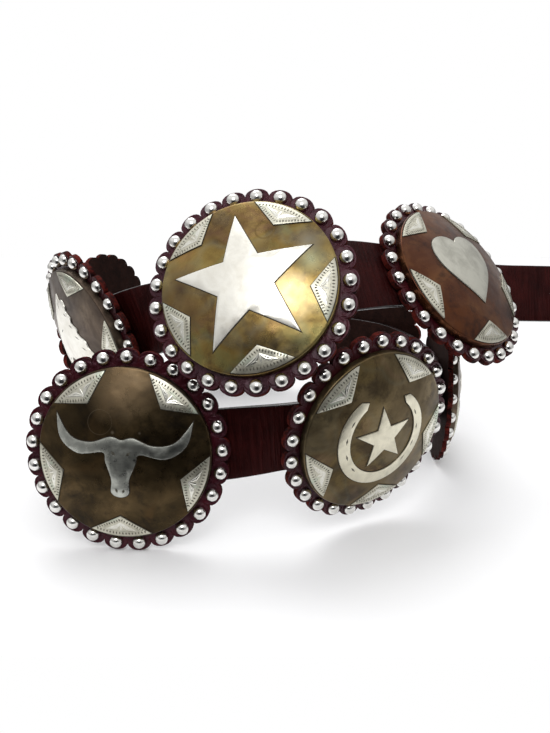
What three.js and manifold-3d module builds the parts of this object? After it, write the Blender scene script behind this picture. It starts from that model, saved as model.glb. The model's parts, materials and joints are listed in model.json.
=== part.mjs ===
// Concho belt, loosely coiled and standing on its lower conchos.
// A leather strap carries nine hollow brass conchos. Each sits on a scalloped leather
// rosette with a ring of round studs, and has nickel silver overlays soldered to it.
// Millimetres, +Z up. The origin is the middle of the footprint, on the surface.

import * as THREE from 'three';
import { mergeVertices } from 'three/addons/utils/BufferGeometryUtils.js';
import Module from 'manifold-3d';

const wasm = await Module();
wasm.setup();

// Driving dimensions
const STRAP_WIDTH = 38.1;
const STRAP_THICKNESS = 3.2;
const STRAP_START = 38; // strap behind the buckle concho, before its post
const TAIL_LENGTH = 78; // straight stretch after the last bend
const TAIL_POINT = 24; // length of the rounded tip
const TAIL_ROUND = 83; // degrees of the arc that rounds it, leaving a blunt end
const TAIL_HOLES = 3;
const TAIL_HOLE_DIAMETER = 4;
const TAIL_HOLE_SPACING = 16;

const DOME_DIAMETER = 88.9;
const DOME_RISE = 7.5; // crown above the rim
const DOME_RIM = 4.3; // height of the upright rim
const DOME_SHEET = 1.2;
const OVERLAY_SHEET = 0.7;
const OVERLAY_MARGIN = 0.9; // rim left bare outside the corner overlays

const STUD_DIAMETER = 7.2;
const STUD_HEIGHT = 3.2;
const STUD_TO_DOME = 0.9;
const STUD_SHOULDER = { across: 0.6, up: 0.8 }; // a point of its rounded side, as shares

const SCALLOPS = 25;
const SCALLOP_MARGIN = 1.7; // leather outside each stud
const SCALLOP_DEPTH = 5.1;
const SCALLOP_SHOULDER = 0.16; // how far a scallop has dropped at its shoulders
const SCALLOP_SPAN = 0.2; // from its middle to a shoulder, as a share of its spacing
const ROSETTE_THICKNESS = 3;
const ROSETTE_SPACING = 24.5; // bare strap between two rosettes

const POST_DIAMETER = 5;
const POST_HEAD_DIAMETER = 10;
const POST_HEAD_THICKNESS = 1.2;
const SEAT_MARGIN = 2; // flat strap beyond the post's head

const HOOK_WIDTH = 12;
const HOOK_TO_POST = 2;
const HOOK_SHEET = 1.5;
const HOOK_PLATE_LENGTH = 20;
const HOOK_THROAT = 4.2;
const HOOK_POINT_LENGTH = 10;

const CLEARANCE = 0.3; // between pieces that touch on the real belt

// Sizes that follow from them
const DOME_RADIUS = DOME_DIAMETER / 2;
const STUD_RING_RADIUS = DOME_RADIUS + STUD_TO_DOME + STUD_DIAMETER / 2;
const ROSETTE_RADIUS = STUD_RING_RADIUS + STUD_DIAMETER / 2 + SCALLOP_MARGIN;
const PITCH = 2 * ROSETTE_RADIUS + ROSETTE_SPACING;
const STRAP_DEPTH = ROSETTE_THICKNESS + CLEARANCE; // strap face behind the rosette face
const HEAD_DEPTH = STRAP_DEPTH + STRAP_THICKNESS + CLEARANCE; // what lies behind the strap
const SEAT = POST_HEAD_DIAMETER / 2 + SEAT_MARGIN; // half of the flat that a post clamps

const BEND_REACH = 0.27; // how far a bend keeps its first direction, as a share of its span
const TWIST_START = 0.3; // the strap stays parallel to a face over this share of a bend

// Facets
const ROUND_SIDES = 18;
const OUTER_RINGS = [1, 0.62, 0]; // shares of the radius
const INNER_RINGS = [1, 0.5, 0];
const POST_SIDES = 8;
const BEND_STEPS = 5;
const TIP_STEPS = 4;

// The way the belt lies, from the buckle end to the tail. across and away are shares of
// the concho pitch, lift is the height of the lowest point as a share of the rosette
// radius, and turn, lean and slope are degrees: where the face looks, how far it looks
// up, and how the strap climbs across it.
const ROUTE = [
  { name: 'steer', across: -0.571, away: -1.007, lift: 0, turn: -3.8, lean: 6.5, slope: 2 },
  { name: 'horseshoe', across: 0.377, away: -0.898, lift: 0.153, turn: 31.2, lean: -8.8, slope: 0 },
  { name: 'right', across: 0.852, away: -0.045, lift: 0, turn: 86, lean: 0, slope: -2 },
  { name: 'rear_right', across: 0.62, away: 0.886, lift: 0, turn: 134, lean: 2, slope: 0 },
  { name: 'rear_left', across: -0.3, away: 1.167, lift: 0, turn: 193, lean: 2, slope: 4 },
  { name: 'left_rear', across: -1.01, away: 0.534, lift: 0.48, turn: 245, lean: 0, slope: 9 },
  { name: 'horse', across: -0.82, away: -0.449, lift: 0.829, turn: 308.9, lean: -15.6, slope: 18 },
  { name: 'star', across: -0.09, away: -0.976, lift: 1.62, turn: 345.2, lean: 27.8, slope: 18 },
  { name: 'heart', across: 0.769, away: -0.529, lift: 1.635, turn: 405.2, lean: 38, slope: -21 },
];
const TAIL = { across: 1.263, away: -0.015, lift: 1.165, turn: 367, lean: 18, slope: -2 };

// What each face carries. turn values are degrees clockwise from the top of the face.
const FACES = {
  steer: { motif: 'skull', motifTurn: 3, cornerTurn: 39.3, studTurn: -13.2 },
  horseshoe: { motif: 'shoe', motifTurn: 0, cornerTurn: 27.9, studTurn: -0.2 },
  right: { motif: 'star', motifTurn: 0, cornerTurn: 36, studTurn: 0 },
  rear_right: { motif: 'star', motifTurn: 0, cornerTurn: 36, studTurn: 0 },
  rear_left: { motif: 'star', motifTurn: 0, cornerTurn: 36, studTurn: 0 },
  left_rear: { motif: 'star', motifTurn: 0, cornerTurn: 36, studTurn: 0 },
  horse: { motif: 'horse', motifTurn: -12.4, cornerTurn: 12, studTurn: -2.2 },
  star: { motif: 'star', motifTurn: -16.9, cornerTurn: 18.4, studTurn: -3.7 },
  heart: { motif: 'heart', motifTurn: 4.8, cornerTurn: 44, studTurn: 4.6 },
};

// Overlay shapes, as shares of the dome radius
const CORNERS = 5;
const CORNER_HALF_ANGLE = 21; // degrees
const CORNER_POINT = 0.71;
const STAR_POINTS = 5;
const STAR_OUTER = 0.82;
const STAR_INNER = 0.33;
const SHOE_OUTER = 0.62;
const SHOE_BAND = 0.155;
const SHOE_OPENING = 36; // degrees each side of the top
const SHOE_STAR = 0.39;
const HEART_WIDTH = 1.0;
const HEART_HEIGHT = 0.96;
const HEART_DIP = 0.84; // height of the notch, as a share of half the height
const SHOE_STAR_LEAN = -8; // degrees from the shoe's own turn
const SKULL_OUTLINE = [
  { x: 0, y: 0.2 },
  { x: 0.13, y: 0.23 },
  { x: 0.36, y: 0.15 },
  { x: 0.6, y: 0.2 },
  { x: 0.78, y: 0.44 },
  { x: 0.72, y: 0.16 },
  { x: 0.5, y: 0.01 },
  { x: 0.21, y: 0.05 },
  { x: 0.17, y: -0.06 },
  { x: 0.1, y: -0.26 },
  { x: 0.1, y: -0.42 },
  { x: 0, y: -0.47 },
];
const HORSE_OUTLINE = [
  { x: -0.1, y: 0.72 },
  { x: 0.05, y: 0.66 },
  { x: 0.16, y: 0.42 },
  { x: 0.24, y: 0.2 },
  { x: 0.4, y: 0.02 },
  { x: 0.5, y: -0.24 },
  { x: 0.46, y: -0.5 },
  { x: 0.02, y: -0.58 },
  { x: -0.1, y: -0.24 },
  { x: -0.34, y: -0.16 },
  { x: -0.58, y: -0.3 },
  { x: -0.68, y: -0.12 },
  { x: -0.46, y: 0.22 },
  { x: -0.3, y: 0.46 },
];

// Colours
const LEATHER = new THREE.Color(0x3a1614);
const BRASS = new THREE.Color(0x7a5a34);
const NICKEL = new THREE.Color(0xd9d7cf);
const STEEL = new THREE.Color(0x8c8a86);

const radians = THREE.MathUtils.degToRad;

// Closed mesh with shared corners and no empty triangles
function weld(geometry) {
  const bare = geometry.clone();
  bare.deleteAttribute('normal');
  bare.deleteAttribute('uv');
  const merged = mergeVertices(bare, 1e-4);
  const corners = merged.index.array;
  const kept = [];
  for (let k = 0; k < corners.length; k += 3) {
    const [a, b, c] = [corners[k], corners[k + 1], corners[k + 2]];
    if (a !== b && b !== c && c !== a) kept.push(a, b, c);
  }
  merged.setIndex(kept);
  return merged;
}

function toSolid(geometry) {
  const welded = weld(geometry);
  return new wasm.Manifold(new wasm.Mesh({
    numProp: 3,
    vertProperties: new Float32Array(welded.attributes.position.array),
    triVerts: new Uint32Array(welded.index.array),
  }));
}

function toGeometry(solid) {
  const mesh = solid.getMesh();
  const geometry = new THREE.BufferGeometry();
  geometry.setAttribute('position', new THREE.BufferAttribute(mesh.vertProperties, 3));
  geometry.setIndex(new THREE.BufferAttribute(mesh.triVerts, 1));
  return geometry;
}

// Ring or disc turned about the face's normal, from radius and height pairs
function turned(profile, sides) {
  const points = profile.map(([radius, height]) => new THREE.Vector2(radius, height));
  const geometry = new THREE.LatheGeometry(points, sides);
  geometry.rotateX(Math.PI / 2);
  return geometry;
}

function diskShape(radius) {
  const shape = new THREE.Shape();
  shape.absarc(0, 0, radius, 0, 2 * Math.PI, false);
  return shape;
}

function prism(shape, low, high, curveSegments = 6) {
  const settings = { depth: high - low, bevelEnabled: false, curveSegments };
  const geometry = new THREE.ExtrudeGeometry(shape, settings);
  geometry.translate(0, 0, low);
  return geometry;
}

// Point of a face at a clockwise angle from its top
function clock(radius, degrees) {
  const angle = radians(degrees);
  return new THREE.Vector2(radius * Math.sin(angle), radius * Math.cos(angle));
}

// Axes of a face that looks along turn and lean
function faceAxes(turn, lean) {
  const heading = radians(turn);
  const tilt = radians(lean);
  const outward = new THREE.Vector3(Math.sin(heading), -Math.cos(heading), 0);
  const right = new THREE.Vector3(Math.cos(heading), Math.sin(heading), 0);
  const normal = outward.clone().multiplyScalar(Math.cos(tilt));
  normal.z = Math.sin(tilt);
  const up = outward.clone().multiplyScalar(-Math.sin(tilt));
  up.z = Math.cos(tilt);
  return { right, up, normal };
}

// Rosette outline: one arc for each scallop
function scallopOutline(studTurn) {
  const notchRadius = ROSETTE_RADIUS - SCALLOP_DEPTH;
  const shoulderRadius = ROSETTE_RADIUS - SCALLOP_DEPTH * SCALLOP_SHOULDER;
  const step = 360 / SCALLOPS;
  const points = [];
  for (let k = 0; k < SCALLOPS; k += 1) {
    const middle = studTurn + k * step;
    points.push(clock(notchRadius, middle - step / 2));
    points.push(clock(shoulderRadius, middle - step * SCALLOP_SPAN));
    points.push(clock(shoulderRadius, middle + step * SCALLOP_SPAN));
  }
  return points.reverse();
}

function rosetteGeometry(studTurn) {
  const shape = new THREE.Shape(scallopOutline(studTurn));
  const hole = new THREE.Path();
  hole.absarc(0, 0, POST_DIAMETER / 2 + CLEARANCE, 0, 2 * Math.PI, true);
  shape.holes.push(hole);
  return weld(prism(shape, -ROSETTE_THICKNESS, 0, POST_SIDES / 2));
}

// The studs' envelope: a half-round ring on the rosette
function studRingGeometry() {
  const half = STUD_DIAMETER / 2;
  const shoulder = half * STUD_SHOULDER.across;
  const shoulderTop = CLEARANCE + STUD_HEIGHT * STUD_SHOULDER.up;
  const profile = [
    [STUD_RING_RADIUS - half, CLEARANCE],
    [STUD_RING_RADIUS + half, CLEARANCE],
    [STUD_RING_RADIUS + shoulder, shoulderTop],
    [STUD_RING_RADIUS, CLEARANCE + STUD_HEIGHT],
    [STUD_RING_RADIUS - shoulder, shoulderTop],
    [STUD_RING_RADIUS - half, CLEARANCE],
  ];
  return weld(turned(profile, ROUND_SIDES));
}

// Height of the dome's outer face above the rosette's face
function domeHeight(radius) {
  const sphere = (DOME_RADIUS ** 2 + DOME_RISE ** 2) / (2 * DOME_RISE);
  const drop = Math.sqrt(sphere ** 2 - DOME_RADIUS ** 2);
  return CLEARANCE + DOME_RIM + Math.sqrt(sphere ** 2 - radius ** 2) - drop;
}

// Filled dome whose outer face is domeHeight, lifted or sunk by one sheet where asked
function domeBlank(radius, rings, offset) {
  const profile = [[0, 0], [radius, 0]];
  rings.forEach((share) => {
    profile.push([share * radius, domeHeight(share * radius) + offset]);
  });
  return toSolid(turned(profile, ROUND_SIDES));
}

function starShape(outer, inner, turn) {
  const points = [];
  for (let k = 0; k < STAR_POINTS; k += 1) {
    const angle = turn + (k * 360) / STAR_POINTS;
    points.push(clock(outer, angle));
    points.push(clock(inner, angle + 180 / STAR_POINTS));
  }
  return new THREE.Shape(points.reverse());
}

function cornerShape(turn) {
  const rim = DOME_RADIUS - OVERLAY_MARGIN;
  const start = 90 - turn - CORNER_HALF_ANGLE;
  const shape = new THREE.Shape();
  shape.absarc(0, 0, rim, radians(start), radians(start + 2 * CORNER_HALF_ANGLE), false);
  const point = clock(CORNER_POINT * DOME_RADIUS, turn);
  shape.lineTo(point.x, point.y);
  shape.closePath();
  return shape;
}

function shoeShape(turn) {
  const outer = SHOE_OUTER * DOME_RADIUS;
  const inner = outer - SHOE_BAND * DOME_RADIUS;
  const start = radians(90 - turn + SHOE_OPENING);
  const end = radians(450 - turn - SHOE_OPENING);
  const shape = new THREE.Shape();
  shape.absarc(0, 0, outer, start, end, false);
  shape.absarc(0, 0, inner, end, start, true);
  shape.closePath();
  return shape;
}

function heartShape(turn) {
  const half = (HEART_WIDTH * DOME_RADIUS) / 2;
  const top = (HEART_HEIGHT * DOME_RADIUS) / 2;
  const dip = top * HEART_DIP;
  const spin = new THREE.Matrix3().makeRotation(radians(-turn));
  const at = (x, y) => {
    const point = new THREE.Vector2(x, y).applyMatrix3(spin);
    return [point.x, point.y];
  };
  const shape = new THREE.Shape();
  shape.moveTo(...at(0, -top));
  shape.bezierCurveTo(...at(half * 0.4, -top * 0.5), ...at(half, -top * 0.1), ...at(half, top * 0.45));
  shape.bezierCurveTo(...at(half, top * 1.2), ...at(half * 0.16, top * 1.15), ...at(0, dip));
  shape.bezierCurveTo(...at(-half * 0.16, top * 1.15), ...at(-half, top * 1.2), ...at(-half, top * 0.45));
  shape.bezierCurveTo(...at(-half, -top * 0.1), ...at(-half * 0.4, -top * 0.5), ...at(0, -top));
  return shape;
}

function outlineShape(rows, turn) {
  const spin = new THREE.Matrix3().makeRotation(radians(-turn));
  const points = rows.map(({ x, y }) => {
    return new THREE.Vector2(x * DOME_RADIUS, y * DOME_RADIUS).applyMatrix3(spin);
  });
  return new THREE.Shape(points);
}

// The skull's right half, mirrored to the left
function skullShape(turn) {
  const left = SKULL_OUTLINE.slice(1, -1).reverse().map(({ x, y }) => ({ x: -x, y }));
  return outlineShape([...SKULL_OUTLINE, ...left], turn);
}

function motifShapes(face) {
  const turn = face.motifTurn;
  if (face.motif === 'skull') return [skullShape(turn)];
  if (face.motif === 'horse') return [outlineShape(HORSE_OUTLINE, turn)];
  if (face.motif === 'heart') return [heartShape(turn)];
  if (face.motif === 'star') {
    return [starShape(STAR_OUTER * DOME_RADIUS, STAR_INNER * DOME_RADIUS, turn)];
  }
  const inner = SHOE_STAR * DOME_RADIUS;
  return [shoeShape(turn), starShape(inner, (inner * STAR_INNER) / STAR_OUTER, turn + SHOE_STAR_LEAN)];
}

// Post soldered inside the dome, riveted over behind the strap
function postSolid() {
  const radius = POST_DIAMETER / 2;
  const headRadius = POST_HEAD_DIAMETER / 2;
  const headTop = -HEAD_DEPTH;
  const root = domeHeight(radius) - DOME_SHEET / 2;
  return toSolid(turned([
    [0, headTop - POST_HEAD_THICKNESS],
    [headRadius, headTop - POST_HEAD_THICKNESS],
    [headRadius, headTop],
    [radius, headTop],
    [radius, root],
    [0, root],
  ], POST_SIDES));
}

// Dome, overlays and post, soldered into one solid
function conchoGeometry(face) {
  const shapes = motifShapes(face);
  for (let k = 0; k < CORNERS; k += 1) {
    shapes.push(cornerShape(face.cornerTurn + (k * 360) / CORNERS));
  }
  const raised = domeBlank(DOME_RADIUS, OUTER_RINGS, OVERLAY_SHEET);
  const hollow = domeBlank(DOME_RADIUS - DOME_SHEET, INNER_RINGS, -DOME_SHEET);
  const underside = toSolid(prism(diskShape(ROSETTE_RADIUS), -CLEARANCE, CLEARANCE));
  const high = domeHeight(0) + 2 * OVERLAY_SHEET;
  let solid = domeBlank(DOME_RADIUS, OUTER_RINGS, 0);
  shapes.forEach((shape) => {
    solid = solid.add(toSolid(prism(shape, CLEARANCE, high, 3)).intersect(raised));
  });
  return toGeometry(solid.subtract(hollow).subtract(underside).add(postSolid()));
}

function lowestPoint(axes, studTurn) {
  let lowest = 0;
  scallopOutline(studTurn).forEach((point) => {
    const front = point.x * axes.right.z + point.y * axes.up.z;
    const back = front - ROSETTE_THICKNESS * axes.normal.z;
    lowest = Math.min(lowest, front, back);
  });
  return lowest;
}

// A stop on the route: its place on the strap's outer face, axes and direction
function routeStop(row) {
  const axes = faceAxes(row.turn, row.lean);
  const studTurn = row.name ? FACES[row.name].studTurn : 0;
  const height = row.lift * ROSETTE_RADIUS - lowestPoint(axes, studTurn);
  const face = new THREE.Vector3(row.across * PITCH, row.away * PITCH, height);
  const slope = radians(row.slope);
  const along = axes.right.clone().multiplyScalar(Math.cos(slope));
  along.addScaledVector(axes.up, Math.sin(slope));
  const strap = face.clone().addScaledVector(axes.normal, -STRAP_DEPTH);
  return { ...row, ...axes, face, along, strap };
}

// One cross-section of the strap
function strapSection(point, along, turn, lean, width = STRAP_WIDTH) {
  const tangent = along.clone().normalize();
  const { up } = faceAxes(turn, lean);
  const across = up.addScaledVector(tangent, -up.dot(tangent)).normalize();
  const normal = tangent.clone().cross(across);
  return { point: point.clone(), across, normal, width };
}

// Sections from one stop to the next: flat where the post clamps, bent between
function bendSections(from, to, flatFrom, flatTo) {
  const start = from.strap.clone().addScaledVector(from.along, flatFrom);
  const end = to.strap.clone().addScaledVector(to.along, -flatTo);
  const reach = start.distanceTo(end) * BEND_REACH;
  const bend = new THREE.CubicBezierCurve3(
    start,
    start.clone().addScaledVector(from.along, reach),
    end.clone().addScaledVector(to.along, -reach),
    end,
  );
  const sections = [];
  for (let k = 0; k <= BEND_STEPS; k += 1) {
    const share = k / BEND_STEPS;
    const eased = THREE.MathUtils.smoothstep(share, TWIST_START, 1 - TWIST_START);
    const turn = THREE.MathUtils.lerp(from.turn, to.turn, share);
    const lean = THREE.MathUtils.lerp(from.lean, to.lean, eased);
    sections.push(strapSection(bend.getPoint(share), bend.getTangent(share), turn, lean));
  }
  return sections;
}

// The tail's straight stretch, rounded at its tip
function tailSections(stop) {
  const sections = [];
  for (let k = 0; k <= TIP_STEPS; k += 1) {
    const angle = radians((TAIL_ROUND * k) / TIP_STEPS);
    const distance = TAIL_LENGTH - TAIL_POINT + TAIL_POINT * Math.sin(angle);
    const width = STRAP_WIDTH * Math.cos(angle);
    const point = stop.strap.clone().addScaledVector(stop.along, distance);
    sections.push(strapSection(point, stop.along, stop.turn, stop.lean, width));
  }
  return sections;
}

// A straight box, bent section by section onto the route
function strapBlank(stops, tail) {
  const first = stops[0];
  const beginning = first.strap.clone().addScaledVector(first.along, -STRAP_START);
  const sections = [strapSection(beginning, first.along, first.turn, first.lean)];
  stops.forEach((stop, k) => {
    const next = stops[k + 1];
    if (next) sections.push(...bendSections(stop, next, SEAT, SEAT));
    else sections.push(...bendSections(stop, tail, SEAT, 0), ...tailSections(tail));
  });
  const steps = sections.length - 1;
  const geometry = new THREE.BoxGeometry(steps, 1, STRAP_THICKNESS, steps, 1, 1);
  const corners = geometry.attributes.position;
  for (let k = 0; k < corners.count; k += 1) {
    const section = sections[Math.round(corners.getX(k) + steps / 2)];
    const corner = section.point.clone();
    corner.addScaledVector(section.across, corners.getY(k) * section.width);
    corner.addScaledVector(section.normal, corners.getZ(k) - STRAP_THICKNESS / 2);
    corners.setXYZ(k, corner.x, corner.y, corner.z);
  }
  return toSolid(geometry);
}

// Matrix that stands a face's own axes at a point
function faceMatrix(stop, origin) {
  const matrix = new THREE.Matrix4().makeBasis(stop.right, stop.up, stop.normal);
  return matrix.setPosition(origin);
}

function drill(stop, origin, diameter) {
  const radius = diameter / 2;
  const reach = 2 * STRAP_THICKNESS;
  const geometry = turned([[0, -reach], [radius, -reach], [radius, reach], [0, reach]], POST_SIDES);
  geometry.applyMatrix4(faceMatrix(stop, origin));
  return toSolid(geometry);
}

function strapGeometry(stops, tail) {
  let solid = strapBlank(stops, tail);
  stops.forEach((stop) => {
    solid = solid.subtract(drill(stop, stop.strap, POST_DIAMETER + 2 * CLEARANCE));
  });
  for (let k = 0; k < TAIL_HOLES; k += 1) {
    const distance = TAIL_LENGTH - TAIL_POINT - k * TAIL_HOLE_SPACING;
    const centre = tail.strap.clone().addScaledVector(tail.along, distance);
    solid = solid.subtract(drill(tail, centre, TAIL_HOLE_DIAMETER));
  }
  return toGeometry(solid);
}

// Belt hook: a plate against the strap, turned back into a point
function hookGeometry() {
  const near = -HEAD_DEPTH;
  const right = -POST_HEAD_DIAMETER / 2 - HOOK_TO_POST;
  const left = right - HOOK_PLATE_LENGTH;
  const far = near - 2 * HOOK_SHEET - HOOK_THROAT;
  const outline = [
    [right, near],
    [left, near],
    [left, far],
    [left + HOOK_POINT_LENGTH, far],
    [left + HOOK_POINT_LENGTH, far + HOOK_SHEET],
    [left + HOOK_SHEET, far + HOOK_SHEET],
    [left + HOOK_SHEET, near - HOOK_SHEET],
    [right, near - HOOK_SHEET],
  ];
  const shape = new THREE.Shape(outline.map(([x, y]) => new THREE.Vector2(x, y)));
  const geometry = prism(shape, -HOOK_WIDTH / 2, HOOK_WIDTH / 2);
  geometry.rotateX(Math.PI / 2);
  return weld(geometry);
}

function addPiece(group, name, geometry, color, roughness, metalness) {
  const material = new THREE.MeshStandardMaterial({ color, roughness, metalness });
  const mesh = new THREE.Mesh(geometry, material);
  mesh.name = name;
  group.add(mesh);
}

// One concho with its rosette and studs, in its own group
function conchoGroup(stop) {
  const face = FACES[stop.name];
  const group = new THREE.Group();
  addPiece(group, `rosette_${stop.name}`, rosetteGeometry(face.studTurn), LEATHER, 0.55, 0);
  addPiece(group, `studs_${stop.name}`, studRingGeometry(), NICKEL, 0.1, 1);
  addPiece(group, `concho_${stop.name}`, conchoGeometry(face), BRASS, 0.35, 1);
  group.applyMatrix4(faceMatrix(stop, stop.face));
  return group;
}

function beltGroup() {
  const stops = ROUTE.map(routeStop);
  const tail = routeStop(TAIL);
  const belt = new THREE.Group();
  addPiece(belt, 'strap', strapGeometry(stops, tail), LEATHER, 0.5, 0);
  stops.forEach((stop) => belt.add(conchoGroup(stop)));
  const buckle = new THREE.Group();
  addPiece(buckle, 'buckle_hook', hookGeometry(), STEEL, 0.3, 1);
  buckle.applyMatrix4(faceMatrix(stops[0], stops[0].face));
  belt.add(buckle);
  return belt;
}

// Stand the belt on its origin
const group = new THREE.Group();
const belt = beltGroup();
belt.updateMatrixWorld(true);
const extent = new THREE.Box3().setFromObject(belt, true);
const middle = extent.getCenter(new THREE.Vector3());
belt.position.set(-middle.x, -middle.y, -extent.min.z);
group.add(belt);

export default group;
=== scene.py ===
"""Concho belt, dressed: leather strap, nine domed conchos on scalloped rosettes, and studs.

The belt lies in a loose coil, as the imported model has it. Sizes are millimetres until a
piece is placed, and metres after that.
"""

import json
import logging
import math
import random
from dataclasses import dataclass, field
from enum import Enum
from typing import Sequence

import bmesh
import bpy
from mathutils import Matrix, Vector

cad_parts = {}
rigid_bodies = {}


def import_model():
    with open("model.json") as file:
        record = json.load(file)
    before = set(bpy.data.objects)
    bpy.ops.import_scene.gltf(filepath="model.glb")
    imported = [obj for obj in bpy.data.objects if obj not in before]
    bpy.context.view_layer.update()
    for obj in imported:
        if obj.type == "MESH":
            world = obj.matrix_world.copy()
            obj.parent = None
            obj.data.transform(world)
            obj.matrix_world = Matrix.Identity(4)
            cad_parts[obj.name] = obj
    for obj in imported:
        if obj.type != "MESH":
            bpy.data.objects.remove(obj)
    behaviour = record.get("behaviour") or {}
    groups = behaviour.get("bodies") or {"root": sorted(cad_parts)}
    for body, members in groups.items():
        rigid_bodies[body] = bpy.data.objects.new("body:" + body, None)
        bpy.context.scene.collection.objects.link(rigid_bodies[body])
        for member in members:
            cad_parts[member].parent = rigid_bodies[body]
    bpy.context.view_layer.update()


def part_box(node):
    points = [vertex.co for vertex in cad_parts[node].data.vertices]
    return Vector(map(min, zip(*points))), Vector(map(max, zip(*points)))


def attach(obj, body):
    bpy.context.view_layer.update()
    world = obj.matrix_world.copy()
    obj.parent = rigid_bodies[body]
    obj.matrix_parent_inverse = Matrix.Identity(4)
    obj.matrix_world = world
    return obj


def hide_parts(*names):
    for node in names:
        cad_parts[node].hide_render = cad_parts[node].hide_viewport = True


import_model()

LOG = logging.getLogger("concho_belt")
Colour = tuple[float, float, float]
Outline = list[tuple[float, float]]
Line = tuple[tuple[float, float], tuple[float, float]]
Socket = bpy.types.NodeSocket
Part = bmesh.types.BMVert | bmesh.types.BMEdge | bmesh.types.BMFace
WHITE: Colour = (1.0, 1.0, 1.0)

# One millimetre, in metres.
MILLIMETRE = 0.001
# Millimetres in one unit of a face's own UV map.
FACE_UNIT = 100.0
# Distance, in millimetres, under which vertices are merged.
MERGE = 0.001
# Distance, in millimetres, under which a vertex counts as on a cutting plane.
ON_PLANE = 0.0005
# Least length that anything is divided by.
TINY = 1e-6


class Motif(Enum):
    """What is soldered in the middle of a concho."""

    STAR = "star"
    SKULL = "skull"
    SHOE = "shoe"
    HEART = "heart"
    HORSE = "horse"


class Place(Enum):
    """Coordinates that a finish can be laid out in."""

    OBJECT = "Object"
    FACE = "face"
    STRAP = "strap"


@dataclass(frozen=True)
class BeltSizes:
    """Sizes that several pieces share, in millimetres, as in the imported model.

    A scallop is lowest tip_inset inside the circle of the tips, and tip_spread of a scallop's
    width to either side of its middle.
    """

    strap_width: float = 38.1
    strap_thickness: float = 3.2
    dome_radius: float = 44.45
    dome_rise: float = 7.5
    dome_rim: float = 4.3
    dome_sheet: float = 1.2
    overlay_sheet: float = 0.7
    stud_diameter: float = 7.2
    stud_height: float = 3.2
    stud_count: int = 25
    stud_gap: float = 0.9
    scallop_margin: float = 1.7
    tip_inset: float = 0.82
    tip_spread: float = 0.2
    post_hole: float = 5.6
    rosette_thickness: float = 3.0
    rosette_spacing: float = 24.5
    clearance: float = 0.3

    @property
    def stud_ring(self) -> float:
        """Radius of the ring on which the studs sit."""
        return self.dome_radius + self.stud_gap + self.stud_diameter / 2

    @property
    def rosette_radius(self) -> float:
        """Radius over the tips of the scallops."""
        return self.stud_ring + self.stud_diameter / 2 + self.scallop_margin

    @property
    def pitch(self) -> float:
        """Length of strap from one concho to the next."""
        return 2 * self.rosette_radius + self.rosette_spacing

    @property
    def strap_depth(self) -> float:
        """Depth of the strap's outer face behind a rosette's front."""
        return self.rosette_thickness + self.clearance

    def crown(self, radius: float) -> float:
        """Height of the dome's outer face above the rosette.

        Args:
            radius: Distance from the middle of the face.

        Returns:
            The height, in millimetres.
        """
        sphere = (self.dome_radius**2 + self.dome_rise**2) / (2 * self.dome_rise)
        drop = math.sqrt(sphere**2 - self.dome_radius**2)
        rim = self.clearance + self.dome_rim
        return rim + math.sqrt(sphere**2 - min(radius, self.dome_radius) ** 2) - drop


SIZES = BeltSizes()


def opaque(colour: Colour) -> tuple[float, float, float, float]:
    """Colour with full alpha."""
    return (*colour, 1.0)


def clock(radius: float, degrees: float) -> tuple[float, float]:
    """Point of a face, measured clockwise from its top.

    Args:
        radius: Distance from the middle.
        degrees: Angle from the top.

    Returns:
        The point's x and y.
    """
    angle = math.radians(degrees)
    return radius * math.sin(angle), radius * math.cos(angle)


@dataclass(frozen=True)
class Stop:
    """One row of the belt's route: where a face stands and how it looks.

    across, away and lift are shares of the pitch and the rosette radius.
    turn, lean and slope are degrees.
    """

    name: str
    across: float
    away: float
    lift: float
    turn: float
    lean: float
    slope: float
    stud_turn: float = 0.0

    def right(self) -> Vector:
        """The face's own x."""
        return Vector((math.cos(math.radians(self.turn)), math.sin(math.radians(self.turn)), 0))

    def outward(self) -> Vector:
        """Level direction in which the face looks."""
        return Vector((math.sin(math.radians(self.turn)), -math.cos(math.radians(self.turn)), 0))

    def up(self) -> Vector:
        """The face's own y."""
        lean = math.radians(self.lean)
        return Vector((0, 0, math.cos(lean))) - self.outward() * math.sin(lean)

    def normal(self) -> Vector:
        """The face's own z."""
        lean = math.radians(self.lean)
        return Vector((0, 0, math.sin(lean))) + self.outward() * math.cos(lean)

    def along(self) -> Vector:
        """Direction of the strap across the face."""
        slope = math.radians(self.slope)
        return self.right() * math.cos(slope) + self.up() * math.sin(slope)

    def axes(self) -> Matrix:
        """Turn from the face's own axes to the frame's."""
        return Matrix((self.right(), self.up(), self.normal())).transposed().to_4x4()

    def drop(self) -> float:
        """How far the lowest scallop reaches below the middle of the face.

        Returns:
            A height under zero.
        """
        lowest = 0.0
        step = 360 / SIZES.stud_count
        reach = SIZES.rosette_radius - SIZES.tip_inset
        back = SIZES.rosette_thickness * self.normal().z
        for k in range(SIZES.stud_count):
            for side in (-SIZES.tip_spread, SIZES.tip_spread):
                x, y = clock(reach, self.stud_turn + (k + side) * step)
                height = x * self.right().z + y * self.up().z
                lowest = min(lowest, height, height - back)
        return lowest

    def centre(self) -> Vector:
        """Middle of the face, from the start of the route."""
        height = self.lift * SIZES.rosette_radius - self.drop()
        return Vector((self.across * SIZES.pitch, self.away * SIZES.pitch, height))


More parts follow.
